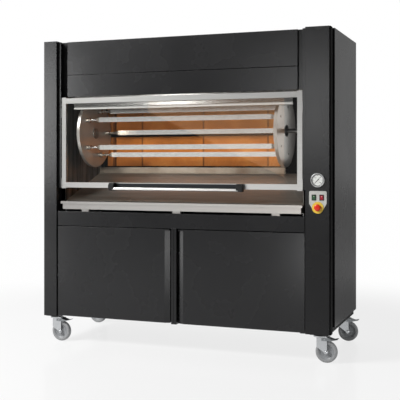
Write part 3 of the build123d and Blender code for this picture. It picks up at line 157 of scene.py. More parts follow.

# %% [markdown]
# ## Charcoal powder coat
# The casing is folded steel sheet with a baked-on polyester powder coat in charcoal grey. The
# powder melts into a satin skin with a fine orange peel, which spreads reflections into wide soft
# streaks. The peel's real grain is under a millimetre. It is drawn a few millimetres wide, so that
# it shows. Folded edges are never knife sharp, so a small bevel in the shader catches light along
# them. The outer step of each pillar is painted matt black, as painted shade in the groove beside
# the side panel. Hidden steel has a heatproof black paint that is matt and rough.

# %% The painted casing
PEEL_MM, PEEL_DEPTH_MM = 3.0, 0.05
PAINT_CLOUD_MM, PAINT_TONES = 260, (0.88, 1.12)
GLOSS_SPREAD = 0.04
EDGE_MM = 2.5
# Past this distance from the middle, the pillars' outer steps are painted matt black as painted
# shade.
SHADE_STEP_FROM = 0.9175  # distance from the middle, on both sides
SHADE_STEP_COLOUR, SHADE_STEP_ROUGHNESS = "060606", 0.95


def powder_coat(name, colour, roughness, shaded_step=None):
    """Baked powder paint with orange peel and softened edges, and painted shade in matt black past
    an X.
    """
    material, tree, place = new_material(name)
    wide = {"Vector": place, "Scale": per_mm(PAINT_CLOUD_MM), "Detail": 3.0}
    fine = {"Vector": place, "Scale": per_mm(PEEL_MM), "Detail": 2.0}
    clouds = add_node(tree, "ShaderNodeTexNoise", wide)
    peel = add_node(tree, "ShaderNodeTexNoise", fine)
    paint = mottled(tree, linear(colour), clouds, PAINT_TONES)
    low, high = roughness - GLOSS_SPREAD, roughness + GLOSS_SPREAD
    reach = {"Value": clouds, "To Min": low, "To Max": high}
    gloss = add_node(tree, "ShaderNodeMapRange", reach)
    # Painted shade: matt black on the pillar's outer step.
    if shaded_step is not None:
        side = add_node(tree, "ShaderNodeSeparateXYZ", {"Vector": place}).outputs["X"]
        reach = add_node(tree, "ShaderNodeMath", {0: side}, operation="ABSOLUTE")
        shaded_step_mask = add_node(tree, "ShaderNodeMath", {0: reach, 1: shaded_step}, operation="GREATER_THAN")
        mixed = {"Factor": shaded_step_mask, "A": paint, "B": linear(SHADE_STEP_COLOUR)}
        paint = add_node(tree, "ShaderNodeMix", mixed, data_type="RGBA").outputs["Result"]
        matt = {0: shaded_step_mask, 1: SHADE_STEP_ROUGHNESS}
        matt = add_node(tree, "ShaderNodeMath", matt, operation="MULTIPLY")
        gloss = add_node(tree, "ShaderNodeMath", {0: gloss, 1: matt}, operation="MAXIMUM")
    edges = add_node(tree, "ShaderNodeBevel", {"Radius": EDGE_MM * MM}, samples=4)
    surface = {"Base Color": paint, "Roughness": gloss, "Specular IOR Level": 0.3}
    coat(tree, surface, {"Height": peel, "Distance": PEEL_DEPTH_MM * MM, "Normal": edges})
    return material


charcoal_paint = powder_coat("charcoal_powder_coat", "171718", 0.27)
pillar_paint = powder_coat("charcoal_powder_coat_and_seal", "171718", 0.27, SHADE_STEP_FROM)
inner_paint = powder_coat("heatproof_black_paint", "101010", 0.6)
print("paints", charcoal_paint.name, pillar_paint.name, inner_paint.name)

# %% [markdown]
# ## Brushed stainless steel
# Doors, trays and chambers in kitchens are austenitic stainless sheet, brushed with a belt. The
# belt leaves fine parallel lines that blur reflections across them and leave them sharp along
# them. Real lines are a tenth of a millimetre apart. They are drawn 2.5 mm apart, so that they
# show. Heat turns the sheet near the fire brown.

# %% Brushed finishes
BRUSH_MM, BRUSH_DEPTH_MM = 2.5, 0.04
BRUSH_STRETCH, BRUSH_TONES = 0.015, (0.82, 1.12)
LINE_SHINE, LINE_BLUR = 0.07, 0.09  # least and most change of roughness from line to line
TINT_CLOUD_MM, TINT_LEAST, TINT_MOST = 150, -0.6, 1.5


def brushed_steel(name, colour, roughness, along, stain=None):
    """Belt-brushed steel with lines along an axis, and an optional brown heat tint."""
    material, tree, place = new_material(name)
    stretch = [BRUSH_STRETCH if axis == along else 1.0 for axis in "xyz"]
    lay = add_node(tree, "ShaderNodeMapping", {"Vector": place, "Scale": stretch})
    grain = {"Vector": lay, "Scale": per_mm(BRUSH_MM), "Detail": 4.0, "Roughness": 0.65}
    lines = add_node(tree, "ShaderNodeTexNoise", grain)
    base = mottled(tree, linear(colour), lines, BRUSH_TONES)
    if stain:
        patches = {"Vector": place, "Scale": per_mm(TINT_CLOUD_MM), "Detail": 4.0}
        clouds = add_node(tree, "ShaderNodeTexNoise", patches)
        reach = {"Value": clouds, "To Min": TINT_LEAST, "To Max": TINT_MOST}
        tinted = add_node(tree, "ShaderNodeMapRange", reach)
        mixed = {"Factor": tinted, "A": base, "B": linear(stain)}
        base = add_node(tree, "ShaderNodeMix", mixed, data_type="RGBA").outputs["Result"]
    low, high = roughness - LINE_SHINE, roughness + LINE_BLUR
    blur = add_node(tree, "ShaderNodeMapRange", {"Value": lines, "To Min": low, "To Max": high})
    surface = {"Base Color": base, "Metallic": 1.0, "Roughness": blur}
    coat(tree, surface, {"Height": lines, "Distance": BRUSH_DEPTH_MM * MM})
    return material


frame_steel = brushed_steel("brushed_stainless", "c9c8c5", 0.30, "x")
chamber_steel = brushed_steel("heat_tinted_stainless", "97938d", 0.34, "x", "6a5d52")
tray_steel = brushed_steel("tray_stainless", "b0aeab", 0.32, "x")
visor_steel = brushed_steel("bright_visor_sheet", "c9c7c3", 0.17, "x")
print("brushed", [m.name for m in (frame_steel, chamber_steel, tray_steel, visor_steel)])

# %% [markdown]
# ## Polished, plated and machined metal
# Tubes and spits are polished, so they mirror the lamps as clear bands with faint smudges. Chrome
# is nearly a mirror. Zinc plate is paler and softer, and dull where shoes rub it. Turned steel is
# darker. Anodised aluminium has a fine satin etch that spreads light evenly.

# %% Plain metals
SMUDGE_MM, SMUDGE_TONES = 45, (0.9, 1.1)


def plain_metal(name, colour, roughness, smudge=0.06):
    """Polished, plated or machined metal with faint smudges."""
    material, tree, place = new_material(name)
    wiped = {"Vector": place, "Scale": per_mm(SMUDGE_MM), "Detail": 5.0}
    clouds = add_node(tree, "ShaderNodeTexNoise", wiped)
    base = mottled(tree, linear(colour), clouds, SMUDGE_TONES)
    reach = {"Value": clouds, "To Min": roughness, "To Max": roughness + smudge}
    blur = add_node(tree, "ShaderNodeMapRange", reach)
    coat(tree, {"Base Color": base, "Metallic": 1.0, "Roughness": blur})
    return material


spit_steel = plain_metal("polished_stainless", "c8c6c2", 0.22, 0.03)
tube_steel = plain_metal("polished_tube", "d8d7d4", 0.26)
chrome = plain_metal("bright_chrome", "dcdcdc", 0.06, 0.03)
bezel_steel = plain_metal("satin_bezel_steel", "e4e4e4", 0.3)
machined_steel = plain_metal("machined_steel", "8d8c8a", 0.34)
zinc_plate = plain_metal("zinc_plate", "c2c4c6", 0.28)
pedal_steel = plain_metal("dull_zinc_plate", "8f9294", 0.36)
satin_aluminium = plain_metal("satin_aluminium", "d0cfca", 0.38)
# A dark metal for the painted shade and reflection on the door's rail behind the handle.
rail_shade_metal = plain_metal("graphite_anodised", "323436", 0.36)
print("metals", [m.name for m in (spit_steel, chrome, zinc_plate, satin_aluminium)])

# %% [markdown]
# ## Steel inside the chamber
# Smoke and fat run down the chamber's walls, so the steel there has vertical dark streaks. The
# steel behind the tiles is painted black, as painted shade in the slot and joints between them.
# The sloping floor carries baked-on drippings, which make it half dull, and it is painted darker
# towards its low edge, as painted shade. The discs are faced on a lathe, so their fine lines are
# circles about the rotor's axis.

# %% Used steel
BLACK_SHADE_FROM, BLACK_SHADE_EDGE = 0.192, 0.004
BLACK_SHADE_COLOUR = "0b0a09"
STREAK_STRETCH, STREAK_DEPTH_MM = 0.08, 0.1
STREAK_START, STREAK_END = 0.36, 0.62
STAIN_ROUGHNESS, BARE_ROUGHNESS = 0.48, 0.30
FLOOR_LINE = 0.96  # height below which the drip floor is darker, as painted shade
LOW_SHADE_BELOW, LOW_SHADE_ABOVE, LOW_SHADE_TONE = 0.03, 0.05, 0.45
RING_MM, RING_DEPTH_MM, RING_TONES = 2.0, 0.03, (0.85, 1.12)
FACING_CLOUD_MM, FACING_TONES = 90, (0.8, 1.2)
ROTOR_AXIS = (0.0, -0.0655, 1.325)


def streaked_steel(name, tones, streak_mm, along, metallic=1.0, soot_and_shade=None, floor=None):
    """Stainless sheet streaked along an axis, with painted shade behind a depth and below a height.
    """
    material, tree, place = new_material(name)
    axes = add_node(tree, "ShaderNodeSeparateXYZ", {"Vector": place}).outputs
    stretch = [STREAK_STRETCH if axis == along else 1.0 for axis in "xyz"]
    lay = add_node(tree, "ShaderNodeMapping", {"Vector": place, "Scale": stretch})
    grain = {"Vector": lay, "Scale": per_mm(streak_mm), "Detail": 4.0, "Roughness": 0.6}
    streaks = add_node(tree, "ShaderNodeTexNoise", grain)
    ramp = add_node(tree, "ShaderNodeValToRGB", {"Fac": streaks})
    stops = zip(ramp.color_ramp.elements, (STREAK_START, STREAK_END), tones)
    for element, position, colour in stops:
        element.position, element.color = position, linear(colour)
    base = ramp.outputs["Color"]
    # Painted shade: the steel behind the tiles' face is black.
    if soot_and_shade is not None:
        edge = {"Value": axes["Y"], "From Min": soot_and_shade - BLACK_SHADE_EDGE, "From Max": soot_and_shade + BLACK_SHADE_EDGE}
        behind = add_node(tree, "ShaderNodeMapRange", edge, interpolation_type="SMOOTHSTEP")
        mixed = {"Factor": behind, "A": base, "B": linear(BLACK_SHADE_COLOUR)}
        base = add_node(tree, "ShaderNodeMix", mixed, data_type="RGBA").outputs["Result"]
    # Painted shade: darker below a height, towards the drip floor's low edge.
    if floor is not None:
        edge = {"Value": axes["Z"], "From Min": floor - LOW_SHADE_BELOW, "From Max": floor + LOW_SHADE_ABOVE}
        edge["To Min"] = LOW_SHADE_TONE
        depth = add_node(tree, "ShaderNodeMapRange", edge, interpolation_type="SMOOTHSTEP")
        base = add_node(tree, "ShaderNodeHueSaturation", {"Color": base, "Value": depth})
    reach = {"Value": streaks, "To Min": STAIN_ROUGHNESS, "To Max": BARE_ROUGHNESS}
    blur = add_node(tree, "ShaderNodeMapRange", reach)
    surface = {"Base Color": base, "Metallic": metallic, "Roughness": blur}
    coat(tree, surface, {"Height": streaks, "Distance": STREAK_DEPTH_MM * MM})
    return material


def faced_steel(name, colour, roughness):
    """Steel faced on a lathe, with rings about the rotor's axis."""
    material, tree, place = new_material(name)
    arm = add_node(tree, "ShaderNodeVectorMath", {0: place, 1: ROTOR_AXIS}, operation="SUBTRACT")
    flat = {0: arm, 1: (0.0, 1.0, 1.0)}
    flat = add_node(tree, "ShaderNodeVectorMath", flat, operation="MULTIPLY")
    radius = add_node(tree, "ShaderNodeVectorMath", {0: flat}, operation="LENGTH").outputs["Value"]
    turning = {"W": radius, "Scale": per_mm(RING_MM), "Detail": 3.0}
    rings = add_node(tree, "ShaderNodeTexNoise", turning, noise_dimensions="1D")
    wear = {"Vector": place, "Scale": per_mm(FACING_CLOUD_MM), "Detail": 4.0}
    clouds = add_node(tree, "ShaderNodeTexNoise", wear)
    ring_tone, wear_tone = [
        add_node(tree, "ShaderNodeMapRange", {"Value": pattern, "To Min": low, "To Max": high})
        for pattern, (low, high) in ((rings, RING_TONES), (clouds, FACING_TONES))
    ]
    tone = add_node(tree, "ShaderNodeMath", {0: ring_tone, 1: wear_tone}, operation="MULTIPLY")
    base = add_node(tree, "ShaderNodeHueSaturation", {"Color": linear(colour), "Value": tone})
    surface = {"Base Color": base, "Metallic": 0.75, "Roughness": roughness}
    coat(tree, surface, {"Height": rings, "Distance": RING_DEPTH_MM * MM})
    return material


lining_steel = streaked_steel("smoked_lining", ("4a4a48", "908f8c"), 38, "z", soot_and_shade=BLACK_SHADE_FROM)
floor_steel = streaked_steel(
    "drip_floor_steel", ("8e877e", "a29b93"), 60, "x", metallic=0.6, floor=FLOOR_LINE
)
disc_steel = faced_steel("faced_stainless", "a9a6a1", 0.33)
print("used steels", lining_steel.name, floor_steel.name, disc_steel.name)

# %% [markdown]
# ## Clay tiles
# Chamotte tiles are fired clay with grog: orange brown and pitted, so they are dull and scatter
# light. Each tile left the kiln in a slightly different tone, and smoke has darkened the joints.

# %% Fired clay
TILE_JOINT = -0.488
TILE_PITCH = 0.443
TILE_SLOT = 1.32
UPPER_BANK = 7.0  # added to the numbers of the upper tiles, so that each tile has its own
FIRING_MM, GROG_MM, PIT_MM = 170, 9, 0.3
KILN_TONES, PIT_TONES = (0.9, 1.1), (0.9, 1.06)
JOINT_START, JOINT_END, JOINT_TONE = 0.006, 0.02, 0.45  # the first two in tile widths
CLAY_TONES = [(0.2, "935a24"), (0.5, "b46f30"), (0.8, "c88a48")]


def fired_clay(name):
    """Chamotte tile with grog and pits, a tone for each tile and soot along its joints."""
    material, tree, place = new_material(name)
    axes = add_node(tree, "ShaderNodeSeparateXYZ", {"Vector": place}).outputs
    firing = {"Vector": place, "Scale": per_mm(FIRING_MM), "Detail": 5.0, "Roughness": 0.55}
    patches = add_node(tree, "ShaderNodeTexNoise", firing)
    grog = add_node(tree, "ShaderNodeTexVoronoi", {"Vector": place, "Scale": per_mm(GROG_MM)})
    ramp = add_node(tree, "ShaderNodeValToRGB", {"Fac": patches})
    ramp.color_ramp.elements.new(0.5)
    for element, (position, colour) in zip(ramp.color_ramp.elements, CLAY_TONES):
        element.position, element.color = position, linear(colour)
    run = add_node(tree, "ShaderNodeMath", {0: axes["X"], 1: TILE_JOINT}, operation="SUBTRACT")
    along = add_node(tree, "ShaderNodeMath", {0: run, 1: TILE_PITCH}, operation="DIVIDE")
    count = add_node(tree, "ShaderNodeMath", {0: along}, operation="FLOOR")
    upper = {0: axes["Z"], 1: TILE_SLOT}
    upper = add_node(tree, "ShaderNodeMath", upper, operation="GREATER_THAN")
    bank = add_node(tree, "ShaderNodeMath", {0: upper, 1: UPPER_BANK}, operation="MULTIPLY")
    number = add_node(tree, "ShaderNodeMath", {0: count, 1: bank}, operation="ADD")
    kiln = add_node(tree, "ShaderNodeTexWhiteNoise", {"W": number}, noise_dimensions="1D")
    step = add_node(tree, "ShaderNodeMath", {0: along}, operation="FRACT")
    rest = add_node(tree, "ShaderNodeMath", {0: 1.0, 1: step}, operation="SUBTRACT")
    edge = add_node(tree, "ShaderNodeMath", {0: step, 1: rest}, operation="MINIMUM")
    joint = {"Value": edge, "From Min": JOINT_START, "From Max": JOINT_END, "To Min": JOINT_TONE}
    soot_and_shade = add_node(tree, "ShaderNodeMapRange", joint, interpolation_type="SMOOTHSTEP")
    kiln_tone, pit_tone = [
        add_node(tree, "ShaderNodeMapRange", {"Value": pattern, "To Min": low, "To Max": high})
        for pattern, (low, high) in ((kiln, KILN_TONES), (grog, PIT_TONES))
    ]
    shade = add_node(tree, "ShaderNodeMath", {0: kiln_tone, 1: soot_and_shade}, operation="MULTIPLY")
    shade = add_node(tree, "ShaderNodeMath", {0: shade, 1: pit_tone}, operation="MULTIPLY")
    base = add_node(tree, "ShaderNodeHueSaturation", {"Color": ramp, "Value": shade})
    surface = {"Base Color": base, "Roughness": 0.9, "Specular IOR Level": 0.2}
    coat(tree, surface, {"Height": grog, "Distance": PIT_MM * MM})
    return material


clay = fired_clay("chamotte_clay")
print("clay", clay.name)

# %% [markdown]
# ## Plastics, rubber, enamel and cast iron
# Moulded parts take the fine grain of their mould. Rubber and nylon are satin, so their lights are
# wide and soft. Switch plastic, enamel and lacquer are glossier, and cast iron has a rough sandy
# skin.

# %% Moulded and cast finishes
GRAIN_TONES = (0.85, 1.15)


def moulded(name, colour, roughness, grain_mm=1.5, depth_mm=0.03):
    """Moulded plastic, rubber or cast metal with a fine grain."""
    material, tree, place = new_material(name)
    mould = {"Vector": place, "Scale": per_mm(grain_mm), "Detail": 3.0}
    grain = add_node(tree, "ShaderNodeTexNoise", mould)
    base = mottled(tree, linear(colour), grain, GRAIN_TONES)
    surface = {"Base Color": base, "Roughness": roughness}
    coat(tree, surface, {"Height": grain, "Distance": depth_mm * MM})
    return material


cast_iron = moulded("cast_iron", "2c2b2a", 0.62, 2.0, 0.15)
wheel_rubber = moulded("grey_rubber", "8f9091", 0.55, 2.0)
rim_grey = moulded("grey_polypropylene", "86888a", 0.45)
black_nylon = moulded("black_nylon", "151515", 0.42)
start_green = moulded("green_switch_plastic", "2c5a3a", 0.3)
signal_red = moulded("red_switch_plastic", "a3122a", 0.3)
mushroom_red = moulded("red_mushroom_plastic", "dc2c12", 0.35)
needle_black = moulded("black_lacquer", "111111", 0.35)
dial_white = moulded("white_enamel", "efefec", 0.3, 1.2, 0.01)
dial_ink = moulded("dial_ink", "1a1a1a", 0.5)
gasket_grey = moulded("gasket_rubber", "4a4c4e", 0.5)
mark_white = moulded("white_print", "d8d8d4", 0.45)
mark_green = moulded("pale_green_lens", "a9b59c", 0.35)
print("moulded", [m.name for m in (cast_iron, wheel_rubber, black_nylon, dial_white)])

# %% [markdown]
# ## Toughened glass
# Toughened soda-lime glass is clear with a faint mirror on each face. Light for the chamber has to
# come through it, so it counts as open for shadow rays, for diffuse rays and for the blurred
# reflections of what stands behind it.


# %% Glass
def clear_glass(name, tint):
    """Toughened glass, open to light on its way to and from what is behind it."""
    material, tree, _ = new_material(name)
    clear = {"Base Color": linear(tint), "Transmission Weight": 1.0, "Roughness": 0.0, "IOR": 1.5}
    glass = add_node(tree, "ShaderNodeBsdfPrincipled", clear)
    opening = add_node(tree, "ShaderNodeBsdfTransparent")
    ray = add_node(tree, "ShaderNodeLightPath").outputs
    glossy = {0: ray["Is Glossy Ray"], 1: ray["Is Singular Ray"]}
    blurred = add_node(tree, "ShaderNodeMath", glossy, operation="SUBTRACT")
    dull = {0: ray["Is Shadow Ray"], 1: ray["Is Diffuse Ray"]}
    either = add_node(tree, "ShaderNodeMath", dull, operation="MAXIMUM")
    either = add_node(tree, "ShaderNodeMath", {0: either, 1: blurred}, operation="MAXIMUM")
    pane = add_node(tree, "ShaderNodeMixShader", {0: either, 1: glass, 2: opening})
    add_node(tree, "ShaderNodeOutputMaterial", {"Surface": pane})
    return material


oven_glass = clear_glass("toughened_glass", "fbfcfb")
print("glass", oven_glass.name)

# %% [markdown]
# ## Which finish goes on which piece
# Every piece of the mechanical model keeps its shape. Its finish comes from the kind of material
# that the model names for it. A few pieces have a finish of their own, as the photograph shows.

# %% Dress the mechanical model
slot_finish = {
    "charcoal_paint": charcoal_paint,
    "inner_black_paint": inner_paint,
    "brushed_stainless": frame_steel,
    "chamber_stainless": chamber_steel,
    "polished_stainless": spit_steel,
    "machined_steel": machined_steel,
    "oven_glass": oven_glass,
    "refractory_ceramic": clay,
    "cast_iron": cast_iron,
    "zinc_plate": zinc_plate,
    "wheel_rubber": wheel_rubber,
    "black_plastic": black_nylon,
    "gauge_chrome": chrome,
    "needle_black": needle_black,
    "control_aluminium": satin_aluminium,
    "start_green": start_green,
    "stop_red": signal_red,
}
own_finish = {
    "left_pillar": pillar_paint,
    "right_pillar": pillar_paint,
    "chamber_shell": lining_steel,
    "drip_slope": floor_steel,
    "drip_tray": tray_steel,
    "left_disc": disc_steel,
    "right_disc": disc_steel,
    "handle_tube": tube_steel,
}
for part in subparts:
    node = part["node"]
    usual = pedal_steel if node.endswith("_pedal") else slot_finish[part["material_slot"]]
    nodes[node].data.materials.clear()
    nodes[node].data.materials.append(own_finish.get(node, usual))
print("dressed", len(subparts), "pieces")

# %% [markdown]
# ## Small parts: how they are made
# Round parts such as bezels, caps, tyres and washers are turned on a lathe or moulded in a round
# mould. One function takes half of the outline, as radius and height in millimetres, and sweeps it
# about an axis. Another adds a box. A third turns what they make into a clean mesh, and a fourth
# hands that over as a piece that rides on a body.


# %% Helpers for small parts
def corners_of(node):
    """The lowest and the highest corner of a mechanical piece."""
    return [Vector(corner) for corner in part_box(node)]


def add_piece(name, mesh, body, stands_for=()):
    """A finished mesh as a piece that rides on a body and may stand for mechanical pieces."""
    piece = bpy.data.objects.new(name, mesh)
    bpy.context.scene.collection.objects.link(piece)
    if stands_for:
        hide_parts(*stands_for)
    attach(piece, body)
    return piece


def finished(name, shape, materials, sharp_degrees=35):
    """A bmesh as a mesh with outward faces, smooth shading and sharp edges."""
    bmesh.ops.remove_doubles(shape, verts=shape.verts, dist=1e-6)
    bmesh.ops.recalc_face_normals(shape, faces=shape.faces)
    mesh = bpy.data.meshes.new(name)
    shape.to_mesh(mesh)
    shape.free()
    mesh.shade_smooth()
    mesh.set_sharp_from_angle(angle=math.radians(sharp_degrees))
    for material in materials:
        mesh.materials.append(material)
    return mesh


def frame_at(place, facing):
    """The matrix that sets a shape's Z axis along a direction at a place."""
    turn = Vector(facing).to_track_quat("Z", "Y").to_matrix().to_4x4()
    return Matrix.Translation(Vector(place)) @ turn


def turned(shape, outline, matrix, steps, material=0):
    """Sweep (radius, height) in mm about a matrix's Z axis. Off the axis it is a closed ring."""
    rings = []
    for radius, height in outline:
        count = 1 if radius == 0 else steps
        ring = []
        for index in range(count):
            angle = 2 * math.pi * index / steps
            point = Vector((radius * math.cos(angle), radius * math.sin(angle), height)) * MM
            ring.append(shape.verts.new(matrix @ point))
        rings.append(ring)
    pairs = list(zip(rings, rings[1:]))
    if outline[0][0] > 0:
        pairs.append((rings[-1], rings[0]))
    for first, second in pairs:
        for index in range(steps):
            after = (index + 1) % steps
            corners = [first[index % len(first)], first[after % len(first)]]
            corners += [second[after % len(second)], second[index % len(second)]]
            face = shape.faces.new(list(dict.fromkeys(corners)))
            face.material_index = material


def turned_piece(name, outlines, matrix, steps, materials, body, stands_for=()):
    """Outlines turned about one axis, with a material each, as one piece on a body."""
    shape = bmesh.new()
    for index, outline in enumerate(outlines):
        turned(shape, outline, matrix, steps, index)
    mesh = finished(name, shape, materials)
    add_piece(name, mesh, body, stands_for)
    print(name, "has", len(mesh.polygons), "faces")


def boxed(shape, low, high, material=0):
    """A box between two corners in metres, into a bmesh."""
    middle = (Vector(low) + Vector(high)) / 2
    size = Vector(high) - Vector(low)
    matrix = Matrix.Translation(middle) @ Matrix.Diagonal((*size, 1.0))
    made = bmesh.ops.create_cube(shape, size=1.0, matrix=matrix)
    for face in {face for vert in made["verts"] for face in vert.link_faces}:
        face.material_index = material
    return made["verts"]


print("lathe, box and piece helpers ready")

# %% [markdown]
# ## Thermometer
# A dial thermometer of 80 mm with a crimped satin steel bezel, a white enamelled dial in a rubber
# gasket, and a flat lens. Its probe goes through the pillar. Case and probe are turned in one
# outline.

# %% Thermometer case, dial and lens
GAUGE = Vector((0.852, -0.3655, 1.034))
FRONT = Vector((0.0, -1.0, 0.0))
GAUGE_STEPS = 72
case_outline = [(0, -60), (5.2, -60), (6, -58), (6, 0), (38.6, 0), (39.6, 1.5), (40, 4), (40, 8.6)]
case_outline += [(39.3, 10.7), (37.8, 11.8), (36.3, 11.6), (35.3, 10.4), (34.8, 8.5), (34.4, 6.0)]
case_outline += [(0, 6.0)]
dial_outline = [(0, 6.05), (30.6, 6.05), (30.6, 6.5), (0, 6.5)]
gasket_outline = [(30.4, 6.0), (30.4, 7.4), (31.2, 8.0), (34.9, 8.4), (34.9, 6.0)]
lens_outline = [(0, 9.6), (34.3, 9.6), (34.3, 11.0), (0, 11.2)]
gauge_frame = frame_at(GAUGE, FRONT)
turned_piece(
    "thermometer_body", [case_outline, dial_outline, gasket_outline], gauge_frame, GAUGE_STEPS,
    [bezel_steel, dial_white, gasket_grey], "casing", ["thermometer_case"],
)
turned_piece(
    "thermometer_lens", [lens_outline], gauge_frame, GAUGE_STEPS,
    [oven_glass], "casing",
)

# %% [markdown]
# ## A node tree for things that repeat
# The tree takes loose points with a direction each. It stands a tapered head with a flat top on
# every point: a screw, a washer or a bolt's cap. A tick of the dial is the same head with four
# sides, stretched. Sizes and material are inputs, so the same tree serves all of them.


# %% The head tree
def head_tree():
    """Geometry Nodes that stand a head on each point, turned to face the point's direction."""
    tree = bpy.data.node_groups.new("heads_on_points", "GeometryNodeTree")
    tree.is_modifier = True
    tree.interface.new_socket("Geometry", in_out="INPUT", socket_type="NodeSocketGeometry")
    sizes = [("Base Radius", "NodeSocketFloat", 0.003), ("Top Radius", "NodeSocketFloat", 0.002)]
    sizes += [("Height", "NodeSocketFloat", 0.001), ("Sides", "NodeSocketInt", 16)]
    sizes += [("Turn", "NodeSocketFloat", 0.0), ("Stretch", "NodeSocketVector", (1.0, 1.0, 1.0))]
    sizes += [("Finish", "NodeSocketMaterial", None)]
    for label, kind, value in sizes:
        socket = tree.interface.new_socket(label, in_out="INPUT", socket_type=kind)
        if value is not None:
            socket.default_value = value
    tree.interface.new_socket("Geometry", in_out="OUTPUT", socket_type="NodeSocketGeometry")
    source = add_node(tree, "NodeGroupInput").outputs
    form = {"Vertices": source["Sides"], "Radius Bottom": source["Base Radius"]}
    form.update({"Radius Top": source["Top Radius"], "Depth": source["Height"]})
    cone = add_node(tree, "GeometryNodeMeshCone", form)
    roll = add_node(tree, "ShaderNodeCombineXYZ", {"Z": source["Turn"]})
    rolled = add_node(tree, "GeometryNodeTransform", {"Geometry": cone, "Rotation": roll})
    stretching = {"Geometry": rolled, "Scale": source["Stretch"]}
    stretched = add_node(tree, "GeometryNodeTransform", stretching)
    facing, upright = [
        add_node(tree, "GeometryNodeInputNamedAttribute", {"Name": label}, data_type="FLOAT_VECTOR")
        for label in ("facing", "upright")
    ]
    aligned = add_node(tree, "FunctionNodeAlignRotationToVector", {"Vector": facing}, axis="Z")
    upturn = {"Rotation": aligned, "Vector": upright}
    raised = add_node(
        tree, "FunctionNodeAlignRotationToVector", upturn, axis="X", pivot_axis="Z"
    )
    stand = {"Points": source["Geometry"], "Instance": stretched, "Rotation": raised}
    placed = add_node(tree, "GeometryNodeInstanceOnPoints", stand)
    real = add_node(tree, "GeometryNodeRealizeInstances", {"Geometry": placed})
    dressing = {"Geometry": real, "Material": source["Finish"]}
    dressed = add_node(tree, "GeometryNodeSetMaterial", dressing)
    add_node(tree, "NodeGroupOutput", {"Geometry": dressed})
    return tree


def heads(name, points, facing, material, body, slot, uprights=None, **sizes):
    """Heads of one kind on a list of points, as one plain mesh that rides on a body."""
    mesh = bpy.data.meshes.new(name + "_points")
    mesh.from_pydata([tuple(point) for point in points], [], [])
    facings = [facing] * len(points)
    uprights = uprights or [(0.0, 0.0, 1.0)] * len(points)
    for label, vectors in (("facing", facings), ("upright", uprights)):
        attribute = mesh.attributes.new(label, "FLOAT_VECTOR", "POINT")
        for index, vector in enumerate(vectors):
            attribute.data[index].vector = tuple(vector)
    seed = bpy.data.objects.new(name + "_seed", mesh)
    bpy.context.scene.collection.objects.link(seed)
    modifier = seed.modifiers.new("heads", "NODES")
    modifier.node_group = HEAD_TREE
    wanted = {label.replace("_", " ").title(): value for label, value in sizes.items()}
    wanted["Finish"] = material
    for item in HEAD_TREE.interface.items_tree:
        if item.in_out == "INPUT" and item.name in wanted:
            modifier[item.identifier] = wanted[item.name]
    depsgraph = bpy.context.evaluated_depsgraph_get()
    grown = bpy.data.meshes.new_from_object(seed.evaluated_get(depsgraph))
    bpy.data.objects.remove(seed)
    return add_piece(name, grown, body)


HEAD_TREE = head_tree()
print("head tree with", len(HEAD_TREE.nodes), "nodes")

# %% [markdown]
# ## The dial's print
# The dial reads from 0 to 300 over three quarters of a turn, with 31 ticks, every fifth of them
# long. The plain numbers stand inside the ticks. They are text that is turned into a mesh.

# %% Ticks and numbers of the dial
DIAL_FACE_MM = 6.5
NUMBER_SIZE, PRINT_DEPTH = 0.0078, 0.0001
TICK_RADIUS_MM, NUMBER_RADIUS_MM = 26.6, 18.5
FIRST_TICK, TICK_STEP, TICK_COUNT = -135, 9, 31
PRINT_LIFT_MM = 0.05


def outward(degrees):
    """The direction away from the dial's middle, by its angle clockwise from the top."""
    return Vector((math.sin(math.radians(degrees)), 0.0, math.cos(math.radians(degrees))))


def on_dial(radius_mm, degrees, height_mm):
    """A point of the dial, by its radius, its angle and its height."""
    return GAUGE + outward(degrees) * radius_mm * MM + FRONT * height_mm * MM


tick_degrees = [FIRST_TICK + TICK_STEP * index for index in range(TICK_COUNT)]
long_ticks = tick_degrees[::5]
short_ticks = [value for value in tick_degrees if value not in long_ticks]
for name, ticks, stretch in (
    ("long_ticks", long_ticks, (4.4, 1.3, 1.0)),
    ("short_ticks", short_ticks, (2.6, 0.7, 1.0)),
):
    places = [on_dial(TICK_RADIUS_MM, value, DIAL_FACE_MM) for value in ticks]
    heads(
        name, places, FRONT, dial_ink, "casing", "needle_black", [outward(v) for v in ticks],
        base_radius=0.001, top_radius=0.001, height=0.00012, sides=4, turn=math.pi / 4,
        stretch=stretch,
    )
numbers = bmesh.new()
for count, degrees in enumerate(long_ticks[::2]):
    curve = bpy.data.curves.new("number", "FONT")
    curve.body = str(100 * count)
    curve.size = NUMBER_SIZE
    curve.align_x, curve.align_y = "CENTER", "CENTER"
    curve.extrude = PRINT_DEPTH
    text = bpy.data.objects.new("number", curve)
    bpy.context.scene.collection.objects.link(text)
    depsgraph = bpy.context.evaluated_depsgraph_get()
    made = bpy.data.meshes.new_from_object(text.evaluated_get(depsgraph))
    place = on_dial(NUMBER_RADIUS_MM, degrees, DIAL_FACE_MM + PRINT_LIFT_MM)
    made.transform(Matrix.Translation(place) @ Matrix.Rotation(math.pi / 2, 4, "X"))
    numbers.from_mesh(made)
    bpy.data.objects.remove(text)
number_mesh = finished("dial_numbers", numbers, [dial_ink])
add_piece("dial_numbers", number_mesh, "casing")
print("ticks", len(tick_degrees), "number faces", len(number_mesh.polygons))

# %% [markdown]
# ## Switch frames and stop button
# The switches sit in black nylon frames. The stop button is a red mushroom cap, moulded with a
# rounded rim, over a yellow ring. The ring and the frames are one piece of the mechanical model,
# so their glossy plastic changes colour at a height.

# %% Switch frames and stop button
RING_TOP = 0.9155  # height between the yellow ring and the switch frames
FRAME_GRAIN_MM, FRAME_DEPTH_MM, FRAME_TONES = 1.5, 0.02, (0.92, 1.08)
STOP = Vector((0.852, -0.3655, 0.879))


